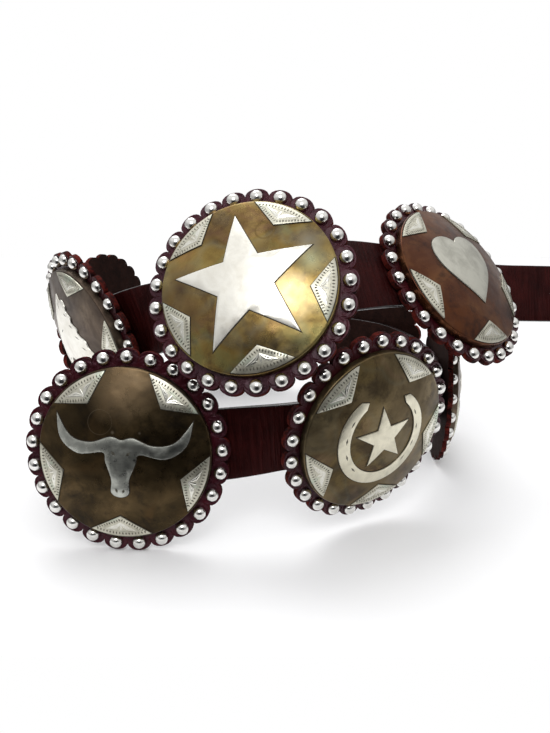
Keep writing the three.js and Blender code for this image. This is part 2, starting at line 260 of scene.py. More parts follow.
ROUTE = [
    Stop("steer", -0.571, -1.007, 0, -3.8, 6.5, 2, -13.2),
    Stop("horseshoe", 0.377, -0.898, 0.153, 31.2, -8.8, 0, -0.2),
    Stop("right", 0.852, -0.045, 0, 86, 0, -2),
    Stop("rear_right", 0.62, 0.886, 0, 134, 2, 0),
    Stop("rear_left", -0.3, 1.167, 0, 193, 2, 4),
    Stop("left_rear", -1.01, 0.534, 0.48, 245, 0, 9),
    Stop("horse", -0.82, -0.449, 0.829, 308.9, -15.6, 18, -2.2),
    Stop("star", -0.09, -0.976, 1.62, 345.2, 27.8, 18, -3.7),
    Stop("heart", 0.769, -0.529, 1.635, 405.2, 38, -21, 4.6),
]
TAIL = Stop("tail", 1.263, -0.015, 1.165, 367, 18, -2)


class Route:
    """The belt's path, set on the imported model."""

    def __init__(self) -> None:
        """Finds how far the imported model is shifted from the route's own start."""
        low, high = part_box("rosette_star")
        star = next(stop for stop in ROUTE if stop.name == "star")
        middle = (low + high) / 2 / MILLIMETRE
        middle += star.normal() * SIZES.rosette_thickness / 2
        shift = middle - star.centre()
        self.shift = Vector((shift.x, shift.y, 0))

    def face(self, stop: Stop) -> Vector:
        """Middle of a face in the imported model's place."""
        return stop.centre() + self.shift

    def strap(self, stop: Stop) -> Vector:
        """Middle of the strap's outer face behind a stop."""
        return self.face(stop) - stop.normal() * SIZES.strap_depth

    def placement(self, stop: Stop) -> Matrix:
        """Matrix that takes a face's own millimetres to the frame's metres.

        Args:
            stop: The face's row of the route.

        Returns:
            The matrix, with its scale.
        """
        place = Matrix.Translation(self.face(stop) * MILLIMETRE)
        return place @ stop.axes() @ Matrix.Scale(MILLIMETRE, 4)


class Recipe:
    """Builds one node material."""

    # Sockets of a mix node that mixes colours.
    MIX_SHARE, MIX_FIRST, MIX_SECOND, MIX_RESULT = 0, 6, 7, 2

    def __init__(self, name: str, metallic: float) -> None:
        """Starts a material with a Principled shader.

        Args:
            name: The material's name.
            metallic: The shader's metallic value.
        """
        self.material = bpy.data.materials.new(name)
        self.material.use_nodes = True
        self.tree = self.material.node_tree
        self.tree.nodes.clear()
        output = self.add("ShaderNodeOutputMaterial")
        self.shader = self.add("ShaderNodeBsdfPrincipled")
        self.shader.inputs["Metallic"].default_value = metallic
        self.tree.links.new(self.shader.outputs["BSDF"], output.inputs["Surface"])
        self.origin = self.coordinates(Place.OBJECT)

    def add(self, kind: str) -> bpy.types.Node:
        """Adds a node of one kind."""
        return self.tree.nodes.new(kind)

    def coordinates(self, place: Place) -> Socket:
        """Socket that gives the chosen coordinates.

        Args:
            place: Object coordinates, or the UV map of a face or of the strap.

        Returns:
            A vector socket.
        """
        if place is Place.OBJECT:
            return self.add("ShaderNodeTexCoord").outputs["Object"]
        node = self.add("ShaderNodeUVMap")
        node.uv_map = place.value
        return node.outputs["UV"]

    def stretched(self, scale: Sequence[float], source: Socket | None = None) -> Socket:
        """Coordinates with their own scale on each axis.

        Args:
            scale: The three scales.
            source: The coordinates to stretch, or Object coordinates.

        Returns:
            A vector socket.
        """
        node = self.add("ShaderNodeMapping")
        node.inputs["Scale"].default_value = scale
        self.tree.links.new(source or self.origin, node.inputs["Vector"])
        return node.outputs["Vector"]

    def noise(self, scale: float, detail: float, rough: float = 0.55, twist: float = 0.0,
              source: Socket | None = None) -> Socket:
        """Value of a noise texture.

        Args:
            scale: Features per metre, or per unit of the source.
            detail: Octaves.
            rough: How strong the finer octaves are.
            twist: Distortion.
            source: The coordinates, or Object coordinates.

        Returns:
            A value socket.
        """
        node = self.add("ShaderNodeTexNoise")
        node.inputs["Scale"].default_value = scale
        node.inputs["Detail"].default_value = detail
        node.inputs["Roughness"].default_value = rough
        node.inputs["Distortion"].default_value = twist
        self.tree.links.new(source or self.origin, node.inputs["Vector"])
        return node.outputs["Fac"]

    def cells(self, scale: float) -> Socket:
        """Distance from the middles of a Voronoi texture's cells.

        Args:
            scale: Cells per metre.

        Returns:
            A value socket.
        """
        node = self.add("ShaderNodeTexVoronoi")
        node.inputs["Scale"].default_value = scale
        self.tree.links.new(self.origin, node.inputs["Vector"])
        return node.outputs["Distance"]

    def tones(self, value: Socket, stops: Sequence[tuple[float, Colour]]) -> Socket:
        """Colour ramp.

        Args:
            value: What drives the ramp.
            stops: Positions and colours.

        Returns:
            A colour socket.
        """
        node = self.add("ShaderNodeValToRGB")
        elements = node.color_ramp.elements
        while len(elements) < len(stops):
            elements.new(0.5)
        for element, (position, colour) in zip(elements, stops):
            element.position = position
            element.color = opaque(colour)
        self.tree.links.new(value, node.inputs["Fac"])
        return node.outputs["Color"]

    def between(self, value: Socket, low: float, high: float, new_low: float = 0.0,
                new_high: float = 1.0) -> Socket:
        """Range of a value, mapped to another range and clamped.

        Args:
            value: The value.
            low: Where the range starts.
            high: Where it ends.
            new_low: What low becomes.
            new_high: What high becomes.

        Returns:
            A value socket.
        """
        node = self.add("ShaderNodeMapRange")
        node.inputs["From Min"].default_value = low
        node.inputs["From Max"].default_value = high
        node.inputs["To Min"].default_value = new_low
        node.inputs["To Max"].default_value = new_high
        self.tree.links.new(value, node.inputs["Value"])
        return node.outputs["Result"]

    def maths(self, kind: str, first: Socket, second: Socket | float = 0.0) -> Socket:
        """One operation on values.

        Args:
            kind: The operation.
            first: The first value.
            second: The second value, if the operation takes one.

        Returns:
            A value socket.
        """
        node = self.add("ShaderNodeMath")
        node.operation = kind
        self.tree.links.new(first, node.inputs[0])
        if isinstance(second, (int, float)):
            node.inputs[1].default_value = second
        else:
            self.tree.links.new(second, node.inputs[1])
        return node.outputs["Value"]

    def mixed(self, share: Socket, first: Socket | Colour, second: Socket | Colour) -> Socket:
        """Mix of two colours.

        Args:
            share: How much of the second shows.
            first: A colour or its socket.
            second: A colour or its socket.

        Returns:
            A colour socket.
        """
        node = self.add("ShaderNodeMix")
        node.data_type = "RGBA"
        self.tree.links.new(share, node.inputs[self.MIX_SHARE])
        for index, colour in ((self.MIX_FIRST, first), (self.MIX_SECOND, second)):
            socket = node.inputs[index]
            if isinstance(colour, tuple):
                socket.default_value = opaque(colour)
            else:
                self.tree.links.new(colour, socket)
        return node.outputs[self.MIX_RESULT]

    def distance_from(self, point: tuple[float, float]) -> Socket:
        """Distance on a face's own map from one of its points.

        Args:
            point: The point, in millimetres from the middle of the face.

        Returns:
            A value socket, in units of the map.
        """
        node = self.add("ShaderNodeVectorMath")
        node.operation = "DISTANCE"
        node.inputs[1].default_value = (point[0] / FACE_UNIT, point[1] / FACE_UNIT, 0)
        self.tree.links.new(self.coordinates(Place.FACE), node.inputs[0])
        return node.outputs["Value"]

    def near(self, value: Socket, level: float, width: float, strength: float) -> Socket:
        """Share that is greatest where a value meets a level, and fades on both sides of it.

        Args:
            value: The value.
            level: Where the share is greatest.
            width: How far from the level it reaches zero.
            strength: The share at the level.

        Returns:
            A value socket.
        """
        away = self.maths("ABSOLUTE", self.maths("SUBTRACT", value, level))
        return self.between(away, 0.0, width, strength, 0.0)

    def colour(self, socket: Socket) -> None:
        """Sends a colour to the shader."""
        self.tree.links.new(socket, self.shader.inputs["Base Color"])

    def roughness(self, socket: Socket) -> None:
        """Sends a roughness to the shader."""
        self.tree.links.new(socket, self.shader.inputs["Roughness"])

    def bumps(self, layers: Sequence[tuple[Socket, float]]) -> None:
        """Stacks bump layers on the shader's normal.

        Args:
            layers: Height sockets, each with its depth in metres.
        """
        normal = None
        for height, depth in layers:
            node = self.add("ShaderNodeBump")
            node.inputs["Strength"].default_value = 1.0
            node.inputs["Distance"].default_value = depth
            self.tree.links.new(height, node.inputs["Height"])
            if normal:
                self.tree.links.new(normal, node.inputs["Normal"])
            normal = node.outputs["Normal"]
        self.tree.links.new(normal, self.shader.inputs["Normal"])

    def set(self, **values: float | Colour) -> None:
        """Sets numbers and colours on the shader's own sockets.

        Args:
            values: The sockets' names, with _ for a space, and their values.
        """
        for name, value in values.items():
            socket = self.shader.inputs[name.replace("_", " ")]
            socket.default_value = opaque(value) if isinstance(value, tuple) else value


@dataclass(frozen=True)
class Mark:
    """A stained or scratched ring on a dome, or a round patch if its radius is zero. Round patches
    are stains, apart from the painted highlights on the star's and the steer's domes.

    centre, radius and width are millimetres on the face, and width is how far it fades.
    """

    centre: tuple[float, float]
    radius: float
    width: float
    colour: Colour
    strength: float


@dataclass(frozen=True)
class Patina:
    """Aged brass of a dome."""

    name: str
    deep: Colour
    middle: Colour
    bright: Colour
    patch: Colour
    tint: Colour
    stain_from: float = 0.55
    tint_from: float = 0.5
    gloss: float = 0.3
    sheen: float = 0.0
    marks: tuple[Mark, ...] = ()
    green_film: Colour = (0.20, 0.25, 0.22)
    red_film: Colour = (0.33, 0.16, 0.14)

    def material(self) -> bpy.types.Material:
        """Mottled metal with stains, a tint and fine scratches.

        Returns:
            The material.
        """
        recipe = Recipe(self.name, metallic=0.92)
        clouds = recipe.noise(40, detail=5, rough=0.56, twist=0.5)
        ground = recipe.tones(clouds, [(0.32, self.deep), (0.5, self.middle), (0.67, self.bright)])
        haze = recipe.noise(26, detail=4, twist=1.4)
        veil = recipe.between(haze, self.tint_from, self.tint_from + 0.1, 0.0, 0.75)
        ground = recipe.mixed(veil, ground, self.tint)
        spots = recipe.noise(85, detail=7, rough=0.68, twist=0.3)
        spread = recipe.between(spots, self.stain_from, self.stain_from + 0.14, 0.0, 0.7)
        ground = recipe.mixed(spread, ground, self.patch)
        if self.sheen:
            film = recipe.noise(30, detail=2, rough=0.4, twist=0.8)
            green = recipe.near(film, 0.52, 0.06, self.sheen)
            ground = recipe.mixed(green, ground, self.green_film)
            red = recipe.near(film, 0.62, 0.05, self.sheen)
            ground = recipe.mixed(red, ground, self.red_film)
        # Marks: stains and scratches, and painted highlights on the star's and the steer's domes.
        for mark in self.marks:
            share = recipe.near(recipe.distance_from(mark.centre), mark.radius / FACE_UNIT,
                                mark.width / FACE_UNIT, mark.strength)
            ground = recipe.mixed(share, ground, mark.colour)
        recipe.colour(ground)
        grime = recipe.noise(160, detail=5, rough=0.7)
        recipe.roughness(recipe.between(grime, 0.3, 0.75, self.gloss, self.gloss + 0.2))
        hairs = recipe.noise(1, detail=4, rough=0.6, twist=0.2,
                             source=recipe.stretched((2600, 160, 900)))
        ripples = recipe.noise(55, detail=2, rough=0.4)
        recipe.bumps([(ripples, 0.0009), (hairs, 0.00002)])
        return recipe.material


@dataclass(frozen=True)
class NickelSilver:
    """Pale overlay metal, brushed and slightly tarnished."""

    name: str
    clean: Colour = (0.78, 0.75, 0.66)
    dull: Colour = (0.55, 0.52, 0.44)
    verdigris: float = 0.0
    gloss: float = 0.26
    green: Colour = (0.42, 0.62, 0.50)

    def material(self) -> bpy.types.Material:
        """Satin metal with a faint tarnish.

        Returns:
            The material.
        """
        recipe = Recipe(self.name, metallic=1.0)
        clouds = recipe.noise(95, detail=6, rough=0.65, twist=0.5)
        tarnish = recipe.between(clouds, 0.42, 0.7)
        ground = recipe.mixed(tarnish, self.clean, self.dull)
        if self.verdigris:
            patches = recipe.noise(60, detail=4, rough=0.6, twist=1.0)
            share = recipe.between(patches, 0.55, 0.68, 0.0, self.verdigris)
            ground = recipe.mixed(share, ground, self.green)
        recipe.colour(ground)
        grime = recipe.noise(220, detail=5, rough=0.7)
        recipe.roughness(recipe.between(grime, 0.3, 0.75, self.gloss, self.gloss + 0.16))
        brushing = recipe.noise(1, detail=3, rough=0.6,
                                source=recipe.stretched((300, 300, 5200)))
        dents = recipe.noise(260, detail=3, rough=0.5)
        recipe.bumps([(dents, 0.00006), (brushing, 0.000012)])
        return recipe.material


@dataclass(frozen=True)
class PolishedNickel:
    """Mirror finish of the studs."""

    name: str = "stud_nickel"
    worn: Colour = (0.68, 0.665, 0.63)
    bright: Colour = (0.82, 0.81, 0.78)

    def material(self) -> bpy.types.Material:
        """Bright metal with a trace of wear.

        Returns:
            The material.
        """
        recipe = Recipe(self.name, metallic=1.0)
        wear = recipe.noise(420, detail=4, rough=0.6)
        recipe.colour(recipe.tones(wear, [(0.3, self.worn), (0.7, self.bright)]))
        haze = recipe.noise(700, detail=4, rough=0.6)
        recipe.roughness(recipe.between(haze, 0.35, 0.8, 0.15, 0.3))
        dents = recipe.noise(500, detail=2, rough=0.5)
        recipe.bumps([(dents, 0.00002)])
        return recipe.material


@dataclass(frozen=True)
class EngravedCut:
    """Bottom of a bright cut, with tarnish left in it."""

    name: str = "bright_cut"
    dark: Colour = (0.075, 0.070, 0.055)
    light: Colour = (0.24, 0.23, 0.19)

    def material(self) -> bpy.types.Material:
        """Darkened nickel silver.

        Returns:
            The material.
        """
        recipe = Recipe(self.name, metallic=1.0)
        value = recipe.noise(900, detail=3, rough=0.5)
        recipe.colour(recipe.tones(value, [(0.4, self.dark), (0.7, self.light)]))
        recipe.roughness(recipe.between(value, 0.3, 0.7, 0.3, 0.5))
        return recipe.material


@dataclass(frozen=True)
class FluxAndShadowSeam:
    """Dark line round an overlay: partly flux and dirt, partly painted contact shadow where the
    overlay meets the dome.
    """

    name: str = "flux_and_shadow_seam"
    dark: Colour = (0.012, 0.009, 0.006)
    light: Colour = (0.05, 0.035, 0.02)

    def material(self) -> bpy.types.Material:
        """Nearly black: oxide, and painted contact shadow.

        Returns:
            The material.
        """
        recipe = Recipe(self.name, metallic=0.3)
        value = recipe.noise(600, detail=4, rough=0.6)
        recipe.colour(recipe.tones(value, [(0.35, self.dark), (0.75, self.light)]))
        recipe.roughness(recipe.between(value, 0.3, 0.7, 0.5, 0.8))
        return recipe.material


@dataclass(frozen=True)
class BrushedSteel:
    """Finish of the hook and of the rivet heads."""

    name: str = "brushed_steel"
    dark: Colour = (0.40, 0.39, 0.37)
    light: Colour = (0.58, 0.57, 0.54)

    def material(self) -> bpy.types.Material:
        """Grey metal with brush lines.

        Returns:
            The material.
        """
        recipe = Recipe(self.name, metallic=1.0)
        lines = recipe.noise(1, detail=4, rough=0.6, source=recipe.stretched((350, 350, 4200)))
        recipe.colour(recipe.tones(lines, [(0.3, self.dark), (0.7, self.light)]))
        grime = recipe.noise(300, detail=4, rough=0.6)
        recipe.roughness(recipe.between(grime, 0.3, 0.75, 0.24, 0.42))
        recipe.bumps([(lines, 0.00002)])
        return recipe.material


@dataclass(frozen=True)
class GrainLeather:
    """Smooth dyed side of the leather."""

    name: str
    place: Place
    deep: Colour = (0.014, 0.0026, 0.0030)
    warm: Colour = (0.044, 0.0080, 0.0080)
    gloss: float = 0.3
    creases: float = 0.00012
    shine: float = 0.05
    tint: Colour = WHITE
    scuffed: Colour = (0.062, 0.013, 0.011)
    folded: Colour = (0.085, 0.013, 0.012)

    def material(self) -> bpy.types.Material:
        """Burgundy leather with pores, creases and a waxed sheen.

        Returns:
            The material.
        """
        recipe = Recipe(self.name, metallic=0.0)
        clouds = recipe.noise(48, detail=5, rough=0.6, twist=0.5)
        pull = recipe.noise(150, detail=5, rough=0.65)
        ground = recipe.tones(clouds, [(0.32, self.deep), (0.68, self.warm)])
        worn = recipe.between(pull, 0.6, 0.78, 0.0, 0.5)
        ground = recipe.mixed(worn, ground, self.scuffed)
        recipe.roughness(recipe.between(pull, 0.3, 0.75, self.gloss, self.gloss + 0.2))
        pores = recipe.between(recipe.cells(1500), 0.05, 0.5)
        grain = recipe.noise(900, detail=4, rough=0.6)
        layers = [(pores, 0.00004), (grain, 0.00005)]
        if self.place is Place.STRAP:
            across = recipe.stretched((520, 36, 1), recipe.coordinates(Place.STRAP))
            wrinkles = recipe.noise(1, detail=4, rough=0.6, twist=0.6, source=across)
            folds = recipe.between(wrinkles, 0.42, 0.72)
            ground = recipe.mixed(recipe.maths("MULTIPLY", folds, 0.3), ground, self.folded)
            layers.append((folds, self.creases))
        else:
            dimples = recipe.noise(260, detail=4, rough=0.6, twist=0.8)
            layers.append((dimples, self.creases))
        recipe.colour(ground)
        recipe.bumps(layers)
        recipe.set(Coat_Weight=self.shine * 0.5, Coat_Roughness=0.14,
                   Specular_IOR_Level=self.shine, Specular_Tint=self.tint)
        return recipe.material


@dataclass(frozen=True)
class RoughLeather:
    """Flesh side or raw edge of the leather."""

    name: str
    dark: Colour
    light: Colour
    depth: float = 0.0002
    dark_until: float = 0.36

    def material(self) -> bpy.types.Material:
        """Fibrous matt leather.

        Returns:
            The material.
        """
        recipe = Recipe(self.name, metallic=0.0)
        fibres = recipe.noise(700, detail=6, rough=0.7, twist=0.4)
        patches = recipe.noise(120, detail=4, rough=0.6)
        value = recipe.maths("MULTIPLY", recipe.maths("ADD", fibres, patches), 0.5)
        recipe.colour(recipe.tones(value, [(self.dark_until, self.dark), (0.66, self.light)]))
        recipe.roughness(recipe.between(fibres, 0.3, 0.7, 0.62, 0.9))
        recipe.bumps([(fibres, self.depth), (patches, self.depth)])
        recipe.set(Specular_IOR_Level=0.06)
        return recipe.material


class Finishes:
    """The belt's materials, made once and shared."""

    def __init__(self) -> None:
        """Makes every material."""
        self.strap_grain = GrainLeather(
            "strap_leather", Place.STRAP, deep=(0.012, 0.0016, 0.0016),
            warm=(0.034, 0.0044, 0.0040), gloss=0.33, creases=0.0006).material()
        self.rosette_grain = GrainLeather(
            "rosette_leather", Place.OBJECT, deep=(0.014, 0.0016, 0.0034),
            warm=(0.050, 0.0050, 0.0082), gloss=0.24, creases=0.0009, shine=0.27,
            tint=(1.0, 0.55, 0.72)).material()
        self.flesh = RoughLeather("leather_flesh_side", dark=(0.007, 0.003, 0.0025),
                                  light=(0.028, 0.011, 0.008)).material()
        self.raw_edge = RoughLeather("rosette_cut_edge", dark=(0.010, 0.003, 0.003),
                                     light=(0.15, 0.018, 0.012), depth=0.00014,
                                     dark_until=0.44).material()
        self.strap_edge = GrainLeather(
            "strap_burnished_edge", Place.OBJECT, deep=(0.006, 0.004, 0.005),
            warm=(0.02, 0.010, 0.011), gloss=0.2, creases=0.00008, shine=0.5).material()
        self.studs = PolishedNickel().material()
        # Dark seams: flux and dirt, and painted contact shadow round the overlays.
        self.seam = FluxAndShadowSeam().material()
        self.cut = EngravedCut().material()
        self.leaf = NickelSilver("bright_cut_leaf", clean=(0.74, 0.73, 0.66),
                                 dull=(0.60, 0.58, 0.50), gloss=0.2).material()
        self.steel = BrushedSteel().material()
        self.corner = NickelSilver("corner_nickel", clean=(0.62, 0.60, 0.50),
                                   dull=(0.44, 0.42, 0.34), verdigris=0.35,
                                   gloss=0.32).material()
        self.overlay = NickelSilver("overlay_nickel", clean=(0.86, 0.84, 0.77),
                                    dull=(0.73, 0.70, 0.62), gloss=0.3).material()
        self.satin = NickelSilver("satin_nickel", clean=(0.56, 0.55, 0.48),
                                  dull=(0.36, 0.35, 0.30), gloss=0.3).material()
        self.cream = NickelSilver("cream_nickel", clean=(0.74, 0.70, 0.56),
                                  dull=(0.54, 0.51, 0.40), gloss=0.3).material()
        self.smoked = NickelSilver("smoked_nickel", clean=(0.50, 0.51, 0.46),
                                   dull=(0.21, 0.215, 0.20), gloss=0.24).material()


def patch(centre: tuple[float, float], width: float, colour: Colour, strength: float) -> Mark:
    """Round patch that fades from its centre. Most are stains; the pale ones on the star's and the
    steer's domes are painted highlights.
    """
    return Mark(centre, 0.0, width, colour, strength)


def golden() -> Patina:
    """Golden olive patina of the star's dome, with a painted highlight right of the star.

    Returns:
        The finish.
    """
    marks = (
        Mark((6.0, 27.0), 4.6, 0.8, (0.14, 0.09, 0.03), 0.75),
        patch((27.0, 24.0), 9.0, (0.20, 0.19, 0.16), 0.7),
        patch((-33.0, -4.0), 15.0, (0.075, 0.042, 0.026), 0.9),
        patch((-25.0, -17.0), 13.0, (0.10, 0.050, 0.026), 0.8),
        patch((-7.0, 36.0), 14.0, (0.11, 0.058, 0.022), 0.7),
        patch((-35.0, 14.0), 12.0, (0.30, 0.165, 0.050), 0.6),
        patch((24.0, -22.0), 7.0, (0.17, 0.14, 0.050), 0.6),
        # Painted highlight: a pale gold pool of light on the dome right of the star.
        patch((21.0, -5.0), 15.0, (0.72, 0.55, 0.27), 0.85),
        patch((30.0, 13.0), 9.0, (0.22, 0.29, 0.21), 0.5),
    )
    return Patina("golden_brass", deep=(0.110, 0.066, 0.022), middle=(0.23, 0.155, 0.046),
                  bright=(0.36, 0.26, 0.085), patch=(0.075, 0.043, 0.020),
                  tint=(0.20, 0.180, 0.065), stain_from=0.5, tint_from=0.52, gloss=0.22,
                  sheen=0.16, marks=marks)


def smoky() -> Patina:
    """Dark brown patina of the steer's dome, with a painted glow of light over its top.

    Returns:
        The finish.
    """
    marks = (
        Mark((-10.6, 17.5), 6.2, 0.2, (0.30, 0.24, 0.17), 0.3),
        patch((-4.0, 12.6), 1.1, (0.4, 0.33, 0.24), 0.5),
        patch((9.6, 12.4), 0.9, (0.4, 0.33, 0.24), 0.5),
        # Painted highlight: a warm glow of light over the top of the dome.
        patch((-1.0, 33.0), 19.0, (0.26, 0.18, 0.10), 0.8),
    )
    return Patina("smoky_brass", deep=(0.024, 0.016, 0.008), middle=(0.046, 0.031, 0.014),
                  bright=(0.10, 0.066, 0.030), patch=(0.014, 0.011, 0.008),
                  tint=(0.070, 0.042, 0.017), stain_from=0.51, tint_from=0.53, gloss=0.23,
                  marks=marks)


def olive() -> Patina:
    """Olive brown patina of the horseshoe's dome.

    Returns:
        The finish.
    """
    return Patina("olive_brass", deep=(0.060, 0.042, 0.020), middle=(0.115, 0.084, 0.042),
                  bright=(0.20, 0.15, 0.075), patch=(0.034, 0.023, 0.013),
                  tint=(0.13, 0.092, 0.036), stain_from=0.51, tint_from=0.5, gloss=0.26,
                  sheen=0.06)


def coppery() -> Patina:
    """Reddish patina of the heart's dome.

    Returns:
        The finish.
    """
    return Patina("coppery_brass", deep=(0.042, 0.014, 0.008), middle=(0.085, 0.030, 0.014),
                  bright=(0.16, 0.068, 0.028), patch=(0.026, 0.012, 0.009),
                  tint=(0.11, 0.036, 0.012), stain_from=0.52, tint_from=0.5, gloss=0.24)


def dusky() -> Patina:
    """Grey brown patina of the horse's dome and of the domes whose faces are hidden.

    Returns:
        The finish.
    """
    return Patina("dusky_brass", deep=(0.05, 0.034, 0.025), middle=(0.10, 0.072, 0.052),
                  bright=(0.18, 0.135, 0.095), patch=(0.036, 0.024, 0.017),
                  tint=(0.11, 0.082, 0.060))


def released(bm: bmesh.types.BMesh, name: str) -> bpy.types.Mesh:
    """Mesh with what a bmesh holds, which is freed.

    Args:
        bm: The mesh that is written.
        name: The new mesh's name.

    Returns:
        The new mesh.
    """
    mesh = bpy.data.meshes.new(name)
    bm.to_mesh(mesh)
    bm.free()
    return mesh


def linked(name: str, data: bpy.types.ID) -> bpy.types.Object:
    """New object in the scene, at the origin.

    Args:
        name: The object's name.
        data: Its mesh, light or camera.

    Returns:
        The object.
    """
    item = bpy.data.objects.new(name, data)
    bpy.context.scene.collection.objects.link(item)
    return item


def only_verts(items: Sequence[Part]) -> list[bmesh.types.BMVert]:
    """The vertices among the parts of a mesh."""
    return [item for item in items if isinstance(item, bmesh.types.BMVert)]


def edges_among(bm: bmesh.types.BMesh, verts: set[bmesh.types.BMVert]) -> list[bmesh.types.BMEdge]:
    """Edges that have both ends among some vertices."""
    return [edge for edge in bm.edges if edge.verts[0] in verts and edge.verts[1] in verts]


def round_off(bm: bmesh.types.BMesh, edges: Sequence[bmesh.types.BMEdge], width: float,
              segments: int = 2) -> None:
    """Rounds edges off.

    Args:
        bm: The mesh.
        edges: Its edges.
        width: How far the rounding reaches from an edge.
        segments: Faces across the rounding.
    """
    bmesh.ops.bevel(bm, geom=edges, offset=width, offset_type="OFFSET", segments=segments,
                    profile=0.5, affect="EDGES", material=-1, clamp_overlap=True)


def slice_across(bm: bmesh.types.BMesh, axis: Sequence[float], distance: float) -> None:
    """Adds an edge line where a plane crosses a mesh.

    Args:
        bm: The mesh.
        axis: The plane's normal, along one of the axes.
        distance: Its distance from the origin.
    """
    everything = bm.verts[:] + bm.edges[:] + bm.faces[:]
    bmesh.ops.bisect_plane(bm, geom=everything, dist=ON_PLANE,
                           plane_co=Vector(axis) * distance, plane_no=axis)


def spin_section(bm: bmesh.types.BMesh, section: Sequence[tuple[float, float]],
                 steps: int) -> None:
    """Spins a section round the z axis into a closed shape.

    Args:
        bm: The mesh that receives it, with nothing else in it.
        section: Distances from the axis, with their heights.
        steps: Faces round the axis.
    """
    verts = [bm.verts.new((reach, 0, height)) for reach, height in section]
    edges = [bm.edges.new(pair) for pair in zip(verts, verts[1:])]
    bmesh.ops.spin(bm, geom=verts + edges, cent=(0, 0, 0), axis=(0, 0, 1), angle=math.tau,
                   steps=steps, use_merge=True)
    bmesh.ops.remove_doubles(bm, verts=bm.verts, dist=MERGE)
    bmesh.ops.recalc_face_normals(bm, faces=bm.faces)


def sort_leather(bm: bmesh.types.BMesh, grain_from: float, edge_from: float) -> None:
    """Gives the grain side material 0, the edge material 1 and the flesh side material 2.

    Args:
        bm: Leather that lies level, with its grain side up.
        grain_from: Height of a face's normal from which it is grain.
        edge_from: Height from which it is edge.
    """
    bm.normal_update()
    for face in bm.faces:
        if face.normal.z > grain_from:
            face.material_index = 0
        else:
            face.material_index = 1 if face.normal.z > edge_from else 2


@dataclass
class Workshop:
    """Turns finished meshes into pieces of the model."""

    made: list[bpy.types.Object] = field(default_factory=list)

    def deliver(self, bm: bmesh.types.BMesh, name: str, materials: Sequence[bpy.types.Material],
                nodes: Sequence[str], placement: Matrix, sharp: float) -> None:
        """Places a mesh, and adds it to the scene as a piece.

        Args:
            bm: The mesh, which is freed.
            name: The piece's name.
            materials: Its materials, in the order of its faces' indices.
            nodes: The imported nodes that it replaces.
            placement: The matrix to the frame's metres.
            sharp: The angle, in degrees, from which an edge stays sharp.
        """
        bmesh.ops.transform(bm, matrix=placement, verts=bm.verts)
        mesh = released(bm, name)
        for material in materials:
            mesh.materials.append(material)
        mesh.shade_smooth()
        mesh.set_sharp_from_angle(angle=math.radians(sharp))
        piece = linked(name, mesh)
        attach(piece, "root")
        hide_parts(*nodes)
        self.made.append(piece)
        LOG.info("%s: %d faces", name, len(mesh.polygons))


def map_face(bm: bmesh.types.BMesh) -> None:
    """Writes a face's own x and y to its UV map.

    Args:
        bm: The mesh, in the face's own millimetres.
    """
    layer = bm.loops.layers.uv.new(Place.FACE.value)
    for face in bm.faces:
        for loop in face.loops:
            loop[layer].uv = (loop.vert.co.x / FACE_UNIT, loop.vert.co.y / FACE_UNIT)


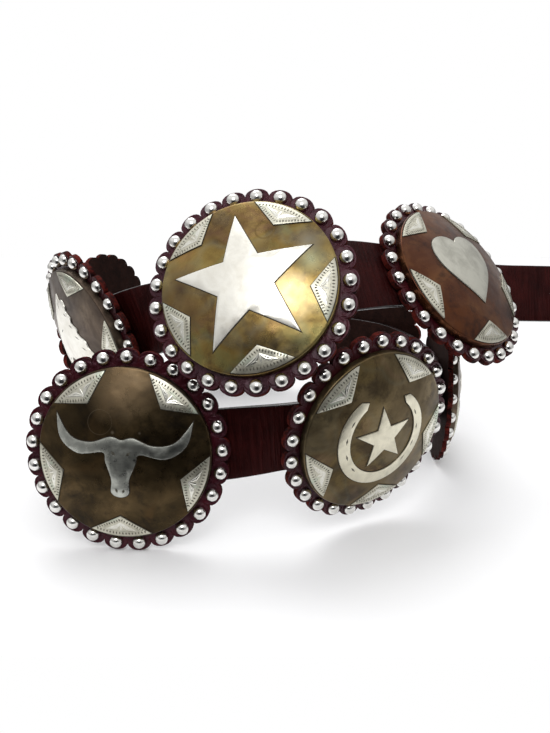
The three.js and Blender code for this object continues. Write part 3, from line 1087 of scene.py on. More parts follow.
@dataclass
class Rosette:
    """Scalloped leather disc under a concho.

    The leather is pressed down in a ring round each stud, and swells a little outside it.
    """

    # Rings of vertices, as shares of the way from the hole to the edge.
    RINGS = (0.0, 0.35, 0.72, 0.82, 0.86, 0.89, 0.915, 0.94, 0.955, 0.967, 0.982, 1.0)
    PRESSED_ROWS = range(2, 10)
    CREASE_ROW = 9

    stop: Stop
    finishes: Finishes
    scallop_depth: float = 5.1
    scallop_fullness: float = 0.9
    tip_short: float = 0.75
    edge_round: float = 0.55
    crease: float = 0.3
    steps: int = 10
    press_radius: float = 3.4
    press_width: float = 1.1
    press_depth: float = 0.3
    swell_radius: float = 6.2
    swell_width: float = 1.6
    swell_height: float = 0.22
    grain_from: float = 0.55
    edge_from: float = -0.7

    def ridge(self, radius: float, angle: float) -> float:
        """Height of the leather's face round the nearest stud.

        Args:
            radius: Distance from the middle.
            angle: Angle from the nearest stud, in radians.

        Returns:
            The height above the flat face.
        """
        reach = math.hypot(radius - SIZES.stud_ring, SIZES.stud_ring * angle)
        press = math.exp(-((reach - self.press_radius) / self.press_width) ** 2)
        swell = math.exp(-((reach - self.swell_radius) / self.swell_width) ** 2)
        return self.swell_height * swell - self.press_depth * press

    def build(self) -> bmesh.types.BMesh:
        """Bends a grid round the face, and gives it the leather's thickness.

        Returns:
            The mesh, in the face's own millimetres.
        """
        bm = bmesh.new()
        columns = SIZES.stud_count * self.steps
        last = len(self.RINGS) - 1
        hole = SIZES.post_hole / 2
        bmesh.ops.create_grid(bm, x_segments=columns, y_segments=last, size=0.5)
        wedge = math.tau / SIZES.stud_count
        notch = SIZES.rosette_radius - self.scallop_depth
        drop = self.scallop_depth - self.tip_short
        for vert in bm.verts:
            column = round((vert.co.x + 0.5) * columns)
            row = round((vert.co.y + 0.5) * last)
            scallop, step = divmod(column, self.steps)
            swing = math.pi * (step / self.steps - 0.5)
            offset = math.sin(swing) * wedge / 2
            edge = notch + drop * math.cos(swing) ** self.scallop_fullness
            radius = hole + (edge - hole) * self.RINGS[row]
            x, y = clock(radius, self.stop.stud_turn + math.degrees(scallop * wedge + offset))
            height = self.ridge(radius, offset) if row in self.PRESSED_ROWS else 0.0
            vert.co = (x, y, height - (self.crease if row == self.CREASE_ROW else 0.0))
        bmesh.ops.remove_doubles(bm, verts=bm.verts, dist=MERGE)
        rim = {vert for edge in bm.edges if edge.is_boundary for vert in edge.verts}
        outer = {vert for vert in rim if vert.co.length > hole + 1}
        made = bmesh.ops.extrude_face_region(bm, geom=list(bm.faces))["geom"]
        for vert in only_verts(made):
            vert.co.z = -SIZES.rosette_thickness
        bmesh.ops.recalc_face_normals(bm, faces=bm.faces)
        round_off(bm, edges_among(bm, outer), self.edge_round)
        return bm

    def make(self, shop: Workshop, placement: Matrix) -> None:
        """Builds and delivers the rosette.

        Args:
            shop: Where the piece is delivered.
            placement: The face's matrix.
        """
        bm = self.build()
        sort_leather(bm, self.grain_from, self.edge_from)
        leather = [self.finishes.rosette_grain, self.finishes.raw_edge, self.finishes.flesh]
        name = self.stop.name
        shop.deliver(bm, f"leather_rosette_{name}", leather, [f"rosette_{name}"],
                     placement, sharp=50)


@dataclass
class StudRing:
    """Ring of round-headed studs, each a little off its place."""

    stop: Stop
    finishes: Finishes
    sides: int = 24
    rows: int = 7
    slack: float = 0.05
    fullness: float = 0.92
    lift: float = 0.1
    turn_play: float = 0.3
    ring_play: float = 0.2
    tilt_play: float = 4.0

    def head(self, bm: bmesh.types.BMesh) -> None:
        """Makes one closed head at the origin.

        Args:
            bm: The mesh that receives it.
        """
        half = SIZES.stud_diameter / 2 - self.slack
        section = [(0.0, 0.0), (half, 0.0)]
        for k in range(1, self.rows + 1):
            angle = math.pi / 2 * k / self.rows
            height = SIZES.stud_height * math.sin(angle) ** self.fullness
            section.append((half * math.cos(angle), height))
        spin_section(bm, section, self.sides)

    def build(self, seed: int) -> bmesh.types.BMesh:
        """Sets one head in each scallop.

        Args:
            seed: Start of the small differences between studs.

        Returns:
            The mesh, in the face's own millimetres.
        """
        chance = random.Random(seed)
        bm = bmesh.new()
        self.head(bm)
        head = list(bm.verts) + list(bm.edges) + list(bm.faces)
        step = 360 / SIZES.stud_count
        for k in range(SIZES.stud_count):
            copy = bmesh.ops.duplicate(bm, geom=head)["geom"]
            turn = self.stop.stud_turn + k * step
            turn += chance.uniform(-self.turn_play, self.turn_play)
            ring = SIZES.stud_ring + chance.uniform(-self.ring_play, self.ring_play)
            place = Matrix.Translation((*clock(ring, turn), self.lift))
            for axis in ("X", "Y"):
                tilt = math.radians(chance.uniform(-self.tilt_play, self.tilt_play))
                place = place @ Matrix.Rotation(tilt, 4, axis)
            bmesh.ops.transform(bm, matrix=place, verts=only_verts(copy))
        bmesh.ops.delete(bm, geom=only_verts(head), context="VERTS")
        return bm

    def make(self, shop: Workshop, placement: Matrix, seed: int) -> None:
        """Builds and delivers the ring.

        Args:
            shop: Where the piece is delivered.
            placement: The face's matrix.
            seed: Start of the small differences between studs.
        """
        name = self.stop.name
        shop.deliver(self.build(seed), f"stud_ring_{name}", [self.finishes.studs],
                     [f"studs_{name}"], placement, sharp=60)


@dataclass
class Dome:
    """Hollow brass dome and the post soldered in it."""

    # Section of the rivet's head, from the middle of its back.
    HEAD = ((0.0, 0.0), (1.4, 0.0), (1.9, 0.12), (3.6, 0.2), (4.6, 0.5))

    stop: Stop
    patina: bpy.types.Material
    finishes: Finishes
    shoulder: float = 0.7
    shoulder_run: float = 1.2
    shoulder_steps: int = 4
    foot_bevel: float = 0.25
    inner_drop: float = 1.6
    inner_share: float = 0.97
    inner_rings: int = 9
    steps: int = 144
    rings: int = 20
    post_radius: float = 2.5
    post_steps: int = 32
    head_radius: float = 5.0
    head_bevel: float = 0.9
    head_height: float = 1.2

    def shell(self) -> bmesh.types.BMesh:
        """Spins the wall's section into a shell.

        Returns:
            The mesh, in the face's own millimetres.
        """
        radius = SIZES.dome_radius
        foot = SIZES.clearance
        reaches = [k / self.rings * (radius - self.shoulder_run) for k in range(self.rings + 1)]
        section = [(reach, SIZES.crown(reach)) for reach in reaches]
        start = radius - self.shoulder
        level = SIZES.crown(start) - self.shoulder
        for k in range(1, self.shoulder_steps + 1):
            angle = math.pi / 2 * k / self.shoulder_steps
            section.append((start + self.shoulder * math.sin(angle),
                            level + self.shoulder * math.cos(angle)))
        section += [(radius, foot + self.foot_bevel), (radius - self.foot_bevel, foot)]
        inner = radius - SIZES.dome_sheet
        section += [(inner, foot), (inner, SIZES.crown(inner) - self.inner_drop)]
        for k in range(self.inner_rings, -1, -1):
            reach = inner * self.inner_share * k / self.inner_rings
            section.append((reach, SIZES.crown(reach) - SIZES.dome_sheet))
        bm = bmesh.new()
        spin_section(bm, section, self.steps)
        return bm

    def post(self) -> bmesh.types.BMesh:
        """Spins the post, with its head spread behind the strap.

        Returns:
            The mesh, in the face's own millimetres.
        """
        under = -(SIZES.strap_depth + SIZES.strap_thickness + SIZES.clearance)
        back = under - self.head_height
        root = SIZES.crown(self.post_radius) - SIZES.dome_sheet / 2
        section = [(reach, back + rise) for reach, rise in self.HEAD]
        section += [(self.head_radius, back + self.head_bevel), (self.head_radius, under)]
        section += [(self.post_radius, under), (self.post_radius, root), (0, root)]
        bm = bmesh.new()
        spin_section(bm, section, self.post_steps)
        return bm

    def make(self, shop: Workshop, placement: Matrix) -> None:
        """Builds and delivers the dome and its post.

        Args:
            shop: Where the pieces are delivered.
            placement: The face's matrix.
        """
        name = self.stop.name
        shell = self.shell()
        map_face(shell)
        shop.deliver(shell, f"brass_dome_{name}", [self.patina], [f"concho_{name}"],
                     placement, sharp=40)
        shop.deliver(self.post(), f"rivet_post_{name}", [self.finishes.steel],
                     [f"concho_{name}"], placement, sharp=30)


def turned(points: Sequence[tuple[float, float]], degrees: float, scale: float = 1.0) -> Outline:
    """Scales an outline and turns it clockwise.

    Args:
        points: The outline.
        degrees: The turn.
        scale: The scale.

    Returns:
        The new outline.
    """
    angle = math.radians(-degrees)
    c, s = math.cos(angle), math.sin(angle)
    return [((x * c - y * s) * scale, (x * s + y * c) * scale) for x, y in points]


def rounded(points: Sequence[tuple[float, float]], corners: Sequence[int], steps: int) -> Outline:
    """Smooth closed outline through points, with some of them left sharp.

    Args:
        points: The points that it passes.
        corners: Indices of the sharp ones.
        steps: Pieces between two points.

    Returns:
        The new outline.
    """
    count = len(points)
    made = []
    for k in range(count):
        first, last = Vector(points[k]), Vector(points[(k + 1) % count])
        before = first if k in corners else Vector(points[k - 1])
        after = last if (k + 1) % count in corners else Vector(points[(k + 2) % count])
        for step in range(steps):
            t = step / steps
            bend = (2 * first + (last - before) * t
                    + (2 * before - 5 * first + 4 * last - after) * t**2
                    + (3 * first - before - 3 * last + after) * t**3)
            made.append(tuple(bend / 2))
    return made


def widened(outline: Outline, by: float, mitre: float = 0.35) -> Outline:
    """Outline moved outwards by a margin, with its sharp corners cut short.

    Args:
        outline: A counter-clockwise outline.
        by: The margin.
        mitre: Half angles of corners are followed down to this cosine.

    Returns:
        The new outline.
    """
    made = []
    count = len(outline)
    for k, point in enumerate(outline):
        before = (Vector(point) - Vector(outline[k - 1])).normalized()
        after = (Vector(outline[(k + 1) % count]) - Vector(point)).normalized()
        outward = Vector((before.y + after.y, -before.x - after.x))
        reach = by / max(mitre, outward.length / 2)
        made.append(tuple(Vector(point) + outward.normalized() * reach))
    return made


def counter_clockwise(outline: Outline) -> Outline:
    """Outline in the order that makes its face look up.

    Args:
        outline: The outline, in either order.

    Returns:
        The outline, or the same points in reverse.
    """
    pairs = zip(outline, outline[1:] + outline[:1])
    area = sum(a[0] * b[1] - b[0] * a[1] for a, b in pairs)
    return outline if area > 0 else outline[::-1]


def pulls(t: float) -> tuple[float, float, float, float]:
    """Weights of a cubic curve's four points, at a share of its run."""
    s = 1 - t
    return s**3, 3 * s * s * t, 3 * s * t * t, t**3


class Shapes:
    """Outlines of the overlays, in millimetres. Turns are degrees clockwise."""

    # Shares of the dome's radius. The skull is one half, which is mirrored.
    SKULL = [
        (0.0, 0.2), (0.13, 0.23), (0.36, 0.15), (0.6, 0.2), (0.78, 0.44), (0.72, 0.16),
        (0.5, 0.01), (0.21, 0.05), (0.17, -0.06), (0.1, -0.26), (0.1, -0.42), (0.0, -0.47),
    ]
    HORSE = [
        (-0.1, 0.72), (-0.03, 0.62), (0.05, 0.63), (0.12, 0.55), (0.12, 0.46), (0.2, 0.38),
        (0.19, 0.3), (0.28, 0.22), (0.28, 0.14), (0.39, 0.05), (0.41, -0.06), (0.5, -0.2),
        (0.5, -0.5), (0.24, -0.56), (0.02, -0.58), (-0.03, -0.4), (-0.1, -0.24),
        (-0.34, -0.16), (-0.48, -0.27), (-0.58, -0.3), (-0.67, -0.22), (-0.68, -0.12),
        (-0.46, 0.22), (-0.3, 0.46),
    ]

    @staticmethod
    def star(outer: float, inner: float, turn: float, points: int = 5) -> Outline:
        """Star with straight sides.

        Args:
            outer: Radius of the points.
            inner: Radius of the notches.
            turn: Turn of the first point.
            points: How many points it has.

        Returns:
            The outline.
        """
        half = 180 / points
        made = []
        for k in range(points):
            made.append(clock(outer, turn + 2 * k * half))
            made.append(clock(inner, turn + (2 * k + 1) * half))
        return made

    @staticmethod
    def corner(turn: float) -> Outline:
        """Corner piece: an arc along the rim, and a point towards the middle.

        Args:
            turn: Where its point stands.

        Returns:
            The outline.
        """
        half, steps = 21.0, 18
        rim = SIZES.dome_radius - 0.9
        point = 0.71 * SIZES.dome_radius
        made = [clock(rim, turn - half + 2 * half * k / steps) for k in range(steps + 1)]
        made.append(clock(point, turn))
        return made

    @staticmethod
    def shoe(turn: float) -> Outline:
        """Horseshoe, open at its top, with rounded heels.

        Args:
            turn: Turn of its opening.

        Returns:
            The outline.
        """
        outer, band, opening = 0.62 * SIZES.dome_radius, 0.155 * SIZES.dome_radius, 36.0
        inner = outer - band
        sweep = 360 - 2 * opening
        heel = 0.5 * math.degrees(band / outer)
        steps = 48
        shares = [k / steps for k in range(steps + 1)]
        narrow = [band * 0.3 * abs(2 * share - 1) ** 3 for share in shares]
        made = [clock(outer - slim * 0.5, turn + opening + sweep * share)
                for share, slim in zip(shares, narrow)]
        made.append(clock(inner + band * 0.5, turn - opening + heel))
        made += [clock(inner + slim * 0.5, turn - opening - sweep * share)
                 for share, slim in zip(shares, narrow)]
        made.append(clock(inner + band * 0.5, turn + opening - heel))
        return made

    @staticmethod
    def heart(turn: float) -> Outline:
        """Heart with a shallow dip.

        Args:
            turn: Turn of its top.

        Returns:
            The outline.
        """
        half, top = 0.5 * SIZES.dome_radius, 0.48 * SIZES.dome_radius
        dip = top * 0.84
        steps = 16
        lower = [(0, -top), (half * 0.4, -top * 0.5), (half, -top * 0.1), (half, top * 0.45)]
        upper = [(half, top * 0.45), (half, top * 1.2), (half * 0.16, top * 1.15), (0, dip)]
        right = []
        for curve in (lower, upper):
            for k in range(steps):
                weights = pulls(k / steps)
                right.append(tuple(sum(w * p[i] for w, p in zip(weights, curve)) for i in (0, 1)))
        right.append((0.0, dip))
        left = [(-x, y) for x, y in right[1:-1]]
        return turned(right + left[::-1], turn)

    @classmethod
    def skull(cls, turn: float) -> Outline:
        """Steer skull, mirrored about its middle.

        Args:
            turn: Turn of its top.

        Returns:
            The outline.
        """
        mirrored = [(-x, y) for x, y in cls.SKULL[1:-1]]
        points = cls.SKULL + mirrored[::-1]
        tips = [4, len(points) - 4]
        return turned(rounded(points, tips, 5), turn, SIZES.dome_radius)

    @classmethod
    def horse(cls, turn: float) -> Outline:
        """Horse head that looks left, with a wavy mane."""
        corners = [0, 1, 12, 14, 17]
        return turned(rounded(cls.HORSE, corners, 4), turn, SIZES.dome_radius)


@dataclass
class Engraving:
    """Bright cuts in the nickel silver of one dome.

    A fan's leaves and its curls have a swing from the way out, a length and a bend, with
    angles in radians. A flick runs between two spots, each a radius and a turn in degrees.
    The motif's lines are shares of the dome's radius, and its grooves are turns in degrees.
    """

    LEAVES = ((0.80, 10.2, 0.55), (0.42, 7.0, 0.85))
    CURL = (2.1, 4.6, -0.7)
    FLICKS = (((38.4, 6.2), (40.6, 10.4)), ((38.4, 10.8), (40.6, 13.6)))
    SKULL = (((-0.115, 0.075), (-0.055, 0.02)), ((0.115, 0.075), (0.055, 0.02)),
             ((-0.05, -0.36), (-0.03, -0.42)), ((0.05, -0.36), (0.03, -0.42)))
    HORSE = (((-0.3, 0.2), (-0.19, 0.25)), ((-0.29, 0.215), (-0.2, 0.235)),
             ((-0.6, -0.14), (-0.57, -0.12)), ((-0.55, -0.22), (-0.44, -0.17)),
             ((-0.1, 0.62), (-0.1, 0.5)))
    GROOVES = (62, 86, 110, 134)

    motif: Motif
    motif_turn: float
    corner_turns: Sequence[float]
    ridge: float = 0.12
    bite: float = 0.02
    tooth_width: float = 0.85
    tooth_length: float = 1.9
    tooth_pace: float = 1.5
    arc_radius: float = 41.9
    arc_half: float = 18.2
    arc_steps: int = 8
    point_radius: float = 33.7
    rule_share: float = 0.97
    rule_width: float = 0.22
    rule_stroke: float = 4.0
    blade_width: float = 1.15
    blade_fullness: float = 0.7
    blade_lift: float = 0.015
    blade_sink: float = 0.08
    blade_merge: float = 0.004
    fan_radius: float = 35.3
    stem: float = 5.0
    curl_radius: float = 40.2
    curl_turn: float = 8.5
    flick_width: float = 0.3
    skull_width: float = 1.5
    horse_width: float = 0.8
    mane_locks: int = 5
    groove_share: float = 0.52
    groove_half: float = 5.0
    groove_width: float = 1.1

    def surface_normal(self, point: Vector) -> Vector:
        """Normal of the dome at a point of the face.

        Args:
            point: The point.

        Returns:
            The unit normal.
        """
        step = 0.5
        reach = point.length
        fall = (SIZES.crown(reach + step) - SIZES.crown(max(0.0, reach - step))) / (2 * step)
        level = point.normalized() if reach > 0.01 else Vector((1, 0))
        return Vector((-fall * level.x, -fall * level.y, 1)).normalized()

    def cut(self, bm: bmesh.types.BMesh, start: Vector, end: Vector, width: float) -> None:
        """Adds one stroke of the graver, as a low four-sided ridge.

        Args:
            bm: The mesh that receives it.
            start: Where the stroke starts on the face.
            end: Where it ends.
            width: Its width in the middle.
        """
        middle = (start + end) / 2
        run = end - start
        level = SIZES.crown(middle.length) + SIZES.overlay_sheet
        place = Matrix.Translation((middle.x, middle.y, level + self.ridge / 2 - self.bite))
        heading = Matrix.Rotation(math.atan2(run.y, run.x), 4, "Z")
        size = Matrix.Diagonal((run.length, width, 1, 1))
        tilt = Vector((0, 0, 1)).rotation_difference(self.surface_normal(middle)).to_matrix()
        bmesh.ops.create_cone(bm, cap_ends=True, segments=4, radius1=0.5, radius2=0.0,
                              depth=self.ridge, matrix=place @ tilt.to_4x4() @ heading @ size)

    def border(self, bm: bmesh.types.BMesh, path: Sequence[Vector]) -> None:
        """Runs a row of strokes across a path, so that bright teeth stay between them.

        Args:
            bm: The mesh that receives them.
            path: Points of the path.
        """
        for start, end in zip(path, path[1:]):
            run = end - start
            across = Vector((-run.y, run.x)).normalized() * self.tooth_length / 2
            count = max(1, round(run.length / self.tooth_pace))
            for k in range(count):
                middle = start + run * ((k + 0.5) / count)
                self.cut(bm, middle - across, middle + across, self.tooth_width)

    def rule(self, bm: bmesh.types.BMesh, path: Sequence[Vector]) -> None:
        """Cuts a fine line beside the border.

        Args:
            bm: The mesh that receives it.
            path: Points of the line.
        """
        for start, end in zip(path, path[1:]):
            run = end - start
            count = max(1, round(run.length / self.rule_stroke))
            for k in range(count):
                first, last = start + run * (k / count), start + run * ((k + 1) / count)
                self.cut(bm, first, last, self.rule_width)

    def blade(self, bm: bmesh.types.BMesh, root: Vector, heading: float, length: float,
              bend: float) -> None:
        """Cuts one curved leaf blade, as a low ridge that narrows to both ends.

        Args:
            bm: The mesh that receives it.
            root: Where the blade starts on the face.
            heading: Its first direction, in radians.
            length: Its length.
            bend: How far it turns on its way, in radians.
        """
        made = bmesh.ops.create_grid(bm, x_segments=6, y_segments=2, size=0.5)["verts"]
        faces = list({face for vert in made for face in vert.link_faces})
        for vert in made:
            share, side = vert.co.x + 0.5, round(vert.co.y * 2)
            half_turn = bend * share / 2
            chord = length * share
            if half_turn:
                chord = chord * math.sin(half_turn) / half_turn
            along = heading + half_turn
            across = heading + bend * share + math.pi / 2
            swell = math.sin(math.pi * min(1.0, share))
            half = self.blade_width / 2 * swell ** self.blade_fullness * side
            x = root.x + chord * math.cos(along) + half * math.cos(across)
            y = root.y + chord * math.sin(along) + half * math.sin(across)
            rise = self.ridge * swell if side == 0 else 0.0
            level = SIZES.crown(math.hypot(x, y)) + SIZES.overlay_sheet
            vert.co = (x, y, level + self.blade_lift + rise)
        grown = bmesh.ops.extrude_face_region(bm, geom=faces)["geom"]
        sunk = only_verts(grown)
        bmesh.ops.translate(bm, vec=(0, 0, -self.blade_sink), verts=sunk)
        bmesh.ops.remove_doubles(bm, verts=made + sunk, dist=self.blade_merge)
        shell = {face for vert in made + sunk if vert.is_valid for face in vert.link_faces}
        bmesh.ops.recalc_face_normals(bm, faces=list(shell))
        for face in shell:
            face.material_index = 1

    def palmette(self, bm: bmesh.types.BMesh, turn: float) -> None:
        """Cuts a fan of leaves in the middle of a corner piece.

        Args:
            bm: The mesh that receives it.
            turn: Where the corner piece stands.
        """
        outward = math.radians(90 - turn)
        root = Vector(clock(self.fan_radius, turn))
        for side in (-1, 1):
            for swing, length, bend in self.LEAVES:
                self.blade(bm, root, outward + side * swing, length, side * bend)
            swing, length, bend = self.CURL
            tip = Vector(clock(self.curl_radius, turn + side * self.curl_turn))
            self.blade(bm, tip, outward + side * swing, length, side * bend)
            for ends in self.FLICKS:
                near, far = (Vector(clock(reach, turn + side * angle)) for reach, angle in ends)
                self.cut(bm, near, far, self.flick_width)
        self.blade(bm, root, outward, self.stem, 0.0)

    def lines(self, bm: bmesh.types.BMesh, lines: Sequence[Line], width: float) -> None:
        """Cuts lines that are given as shares of the dome's radius.

        Args:
            bm: The mesh that receives them.
            lines: The two ends of each line, before the motif's turn.
            width: Their width.
        """
        for ends in lines:
            first, last = turned(ends, self.motif_turn, SIZES.dome_radius)
            self.cut(bm, Vector(first), Vector(last), width)

    def nail_grooves(self, bm: bmesh.types.BMesh) -> None:
        """Cuts a row of grooves in each branch of the horseshoe.

        Args:
            bm: The mesh that receives them.
        """
        reach = self.groove_share * SIZES.dome_radius
        for side in (-1, 1):
            for angle in self.GROOVES:
                turn = self.motif_turn + side * angle
                first = Vector(clock(reach, turn - self.groove_half))
                last = Vector(clock(reach, turn + self.groove_half))
                self.cut(bm, first, last, self.groove_width)

    def detail(self, bm: bmesh.types.BMesh) -> None:
        """Cuts the lines that belong to the motif itself.

        Args:
            bm: The mesh that receives them.
        """
        if self.motif is Motif.SHOE:
            self.nail_grooves(bm)
        elif self.motif is Motif.SKULL:
            self.lines(bm, self.SKULL, self.skull_width)
        elif self.motif is Motif.HORSE:
            mane = [((0.02 + 0.07 * k, 0.46 - 0.16 * k), (0.1 + 0.08 * k, 0.4 - 0.16 * k))
                    for k in range(self.mane_locks)]
            self.lines(bm, [*self.HORSE, *mane], self.horse_width)

    def build(self) -> bmesh.types.BMesh:
        """Cuts the border and leaves of every corner piece, and the motif's own lines.

        Returns:
            The mesh, in the face's own millimetres.
        """
        bm = bmesh.new()
        for turn in self.corner_turns:
            arc = [Vector(clock(self.arc_radius,
                                turn - self.arc_half + 2 * self.arc_half * k / self.arc_steps))
                   for k in range(self.arc_steps + 1)]
            point = Vector(clock(self.point_radius, turn))
            self.border(bm, arc)
            self.border(bm, [arc[0], point, arc[-1]])
            self.rule(bm, [spot * self.rule_share for spot in arc])
            self.palmette(bm, turn)
        self.detail(bm)
        return bm


@dataclass
class Overlays:
    """Nickel silver pieces soldered to one dome."""

    # Radii of a star's points and notches, as shares of the dome's radius.
    STAR = (0.82, 0.33)
    SHOE_STAR = (0.39, 0.157)
    SHOE_STAR_TURN = 8

    stop: Stop
    motif: Motif
    motif_turn: float
    corner_turn: float
    metal: bpy.types.Material
    finishes: Finishes
    corners: int = 5
    edge_round: float = 0.14
    seam_width: float = 0.38
    seam_height: float = 0.07
    sunk: float = 0.25
    grid: float = 5.5
    grid_shift: float = 0.37

    def outlines(self) -> list[Outline]:
        """Outlines of what stands in the middle.

        Returns:
            The outlines.
        """
        turn = self.motif_turn
        radius = SIZES.dome_radius
        if self.motif is Motif.STAR:
            return [Shapes.star(self.STAR[0] * radius, self.STAR[1] * radius, turn)]
        if self.motif is Motif.SKULL:
            return [Shapes.skull(turn)]
        if self.motif is Motif.HEART:
            return [Shapes.heart(turn)]
        if self.motif is Motif.HORSE:
            return [Shapes.horse(turn)]
        small = Shapes.star(self.SHOE_STAR[0] * radius, self.SHOE_STAR[1] * radius,
                            turn - self.SHOE_STAR_TURN)
        return [Shapes.shoe(turn), small]

    def laid(self, outlines: Sequence[Outline], height: float, edge: float) -> bmesh.types.BMesh:
        """Sheets with these outlines, laid on the dome.

        Args:
            outlines: The outlines.
            height: Height of the sheets over the dome.
            edge: Width of their rounded edge, or zero.

        Returns:
            The mesh, in the face's own millimetres.
        """
        bm = bmesh.new()
        for outline in outlines:
            order = counter_clockwise(outline)
            bm.faces.new([bm.verts.new((x, y, -self.sunk)) for x, y in order])
        made = bmesh.ops.extrude_face_region(bm, geom=list(bm.faces))["geom"]
        lifted = only_verts(made)
        bmesh.ops.translate(bm, vec=(0, 0, height + self.sunk), verts=lifted)
        bmesh.ops.recalc_face_normals(bm, faces=bm.faces)
        if edge:
            round_off(bm, edges_among(bm, set(lifted)), edge)
        count = int(SIZES.dome_radius // self.grid)
        for k in range(-count, count + 1):
            for axis in ((1, 0, 0), (0, 1, 0)):
                slice_across(bm, axis, k * self.grid + self.grid_shift)
        map_face(bm)
        for vert in bm.verts:
            vert.co.z += SIZES.crown(vert.co.xy.length)
        return bm

    def make(self, shop: Workshop, placement: Matrix) -> None:
        """Builds and delivers the overlays, their seams and the engraving.

        Args:
            shop: Where the pieces are delivered.
            placement: The face's matrix.
        """
        name = self.stop.name
        node = [f"concho_{name}"]
        thick = SIZES.overlay_sheet
        turns = [self.corner_turn + 360 / self.corners * k for k in range(self.corners)]
        middle, corners = self.outlines(), [Shapes.corner(turn) for turn in turns]
        motif = self.motif.value
        shop.deliver(self.laid(middle, thick, self.edge_round), f"{motif}_overlay_{name}",
                     [self.metal], node, placement, sharp=25)
        shop.deliver(self.laid(corners, thick, self.edge_round), f"corner_overlays_{name}",
                     [self.finishes.corner], node, placement, sharp=25)
        # Dark seams round each overlay: partly flux and dirt, partly painted contact shadow at its
        # foot.
        seams = [widened(counter_clockwise(line), self.seam_width) for line in middle + corners]
        shop.deliver(self.laid(seams, self.seam_height, 0), f"solder_seams_{name}",
                     [self.finishes.seam], node, placement, sharp=25)
        cuts = Engraving(self.motif, self.motif_turn, turns).build()
        shop.deliver(cuts, f"engraving_{name}", [self.finishes.cut, self.finishes.leaf],
                     node, placement, sharp=10)


@dataclass
class Station:
    """One cross-section of the strap, at its distance along it."""

    distance: float
    point: Vector
    across: Vector
    normal: Vector


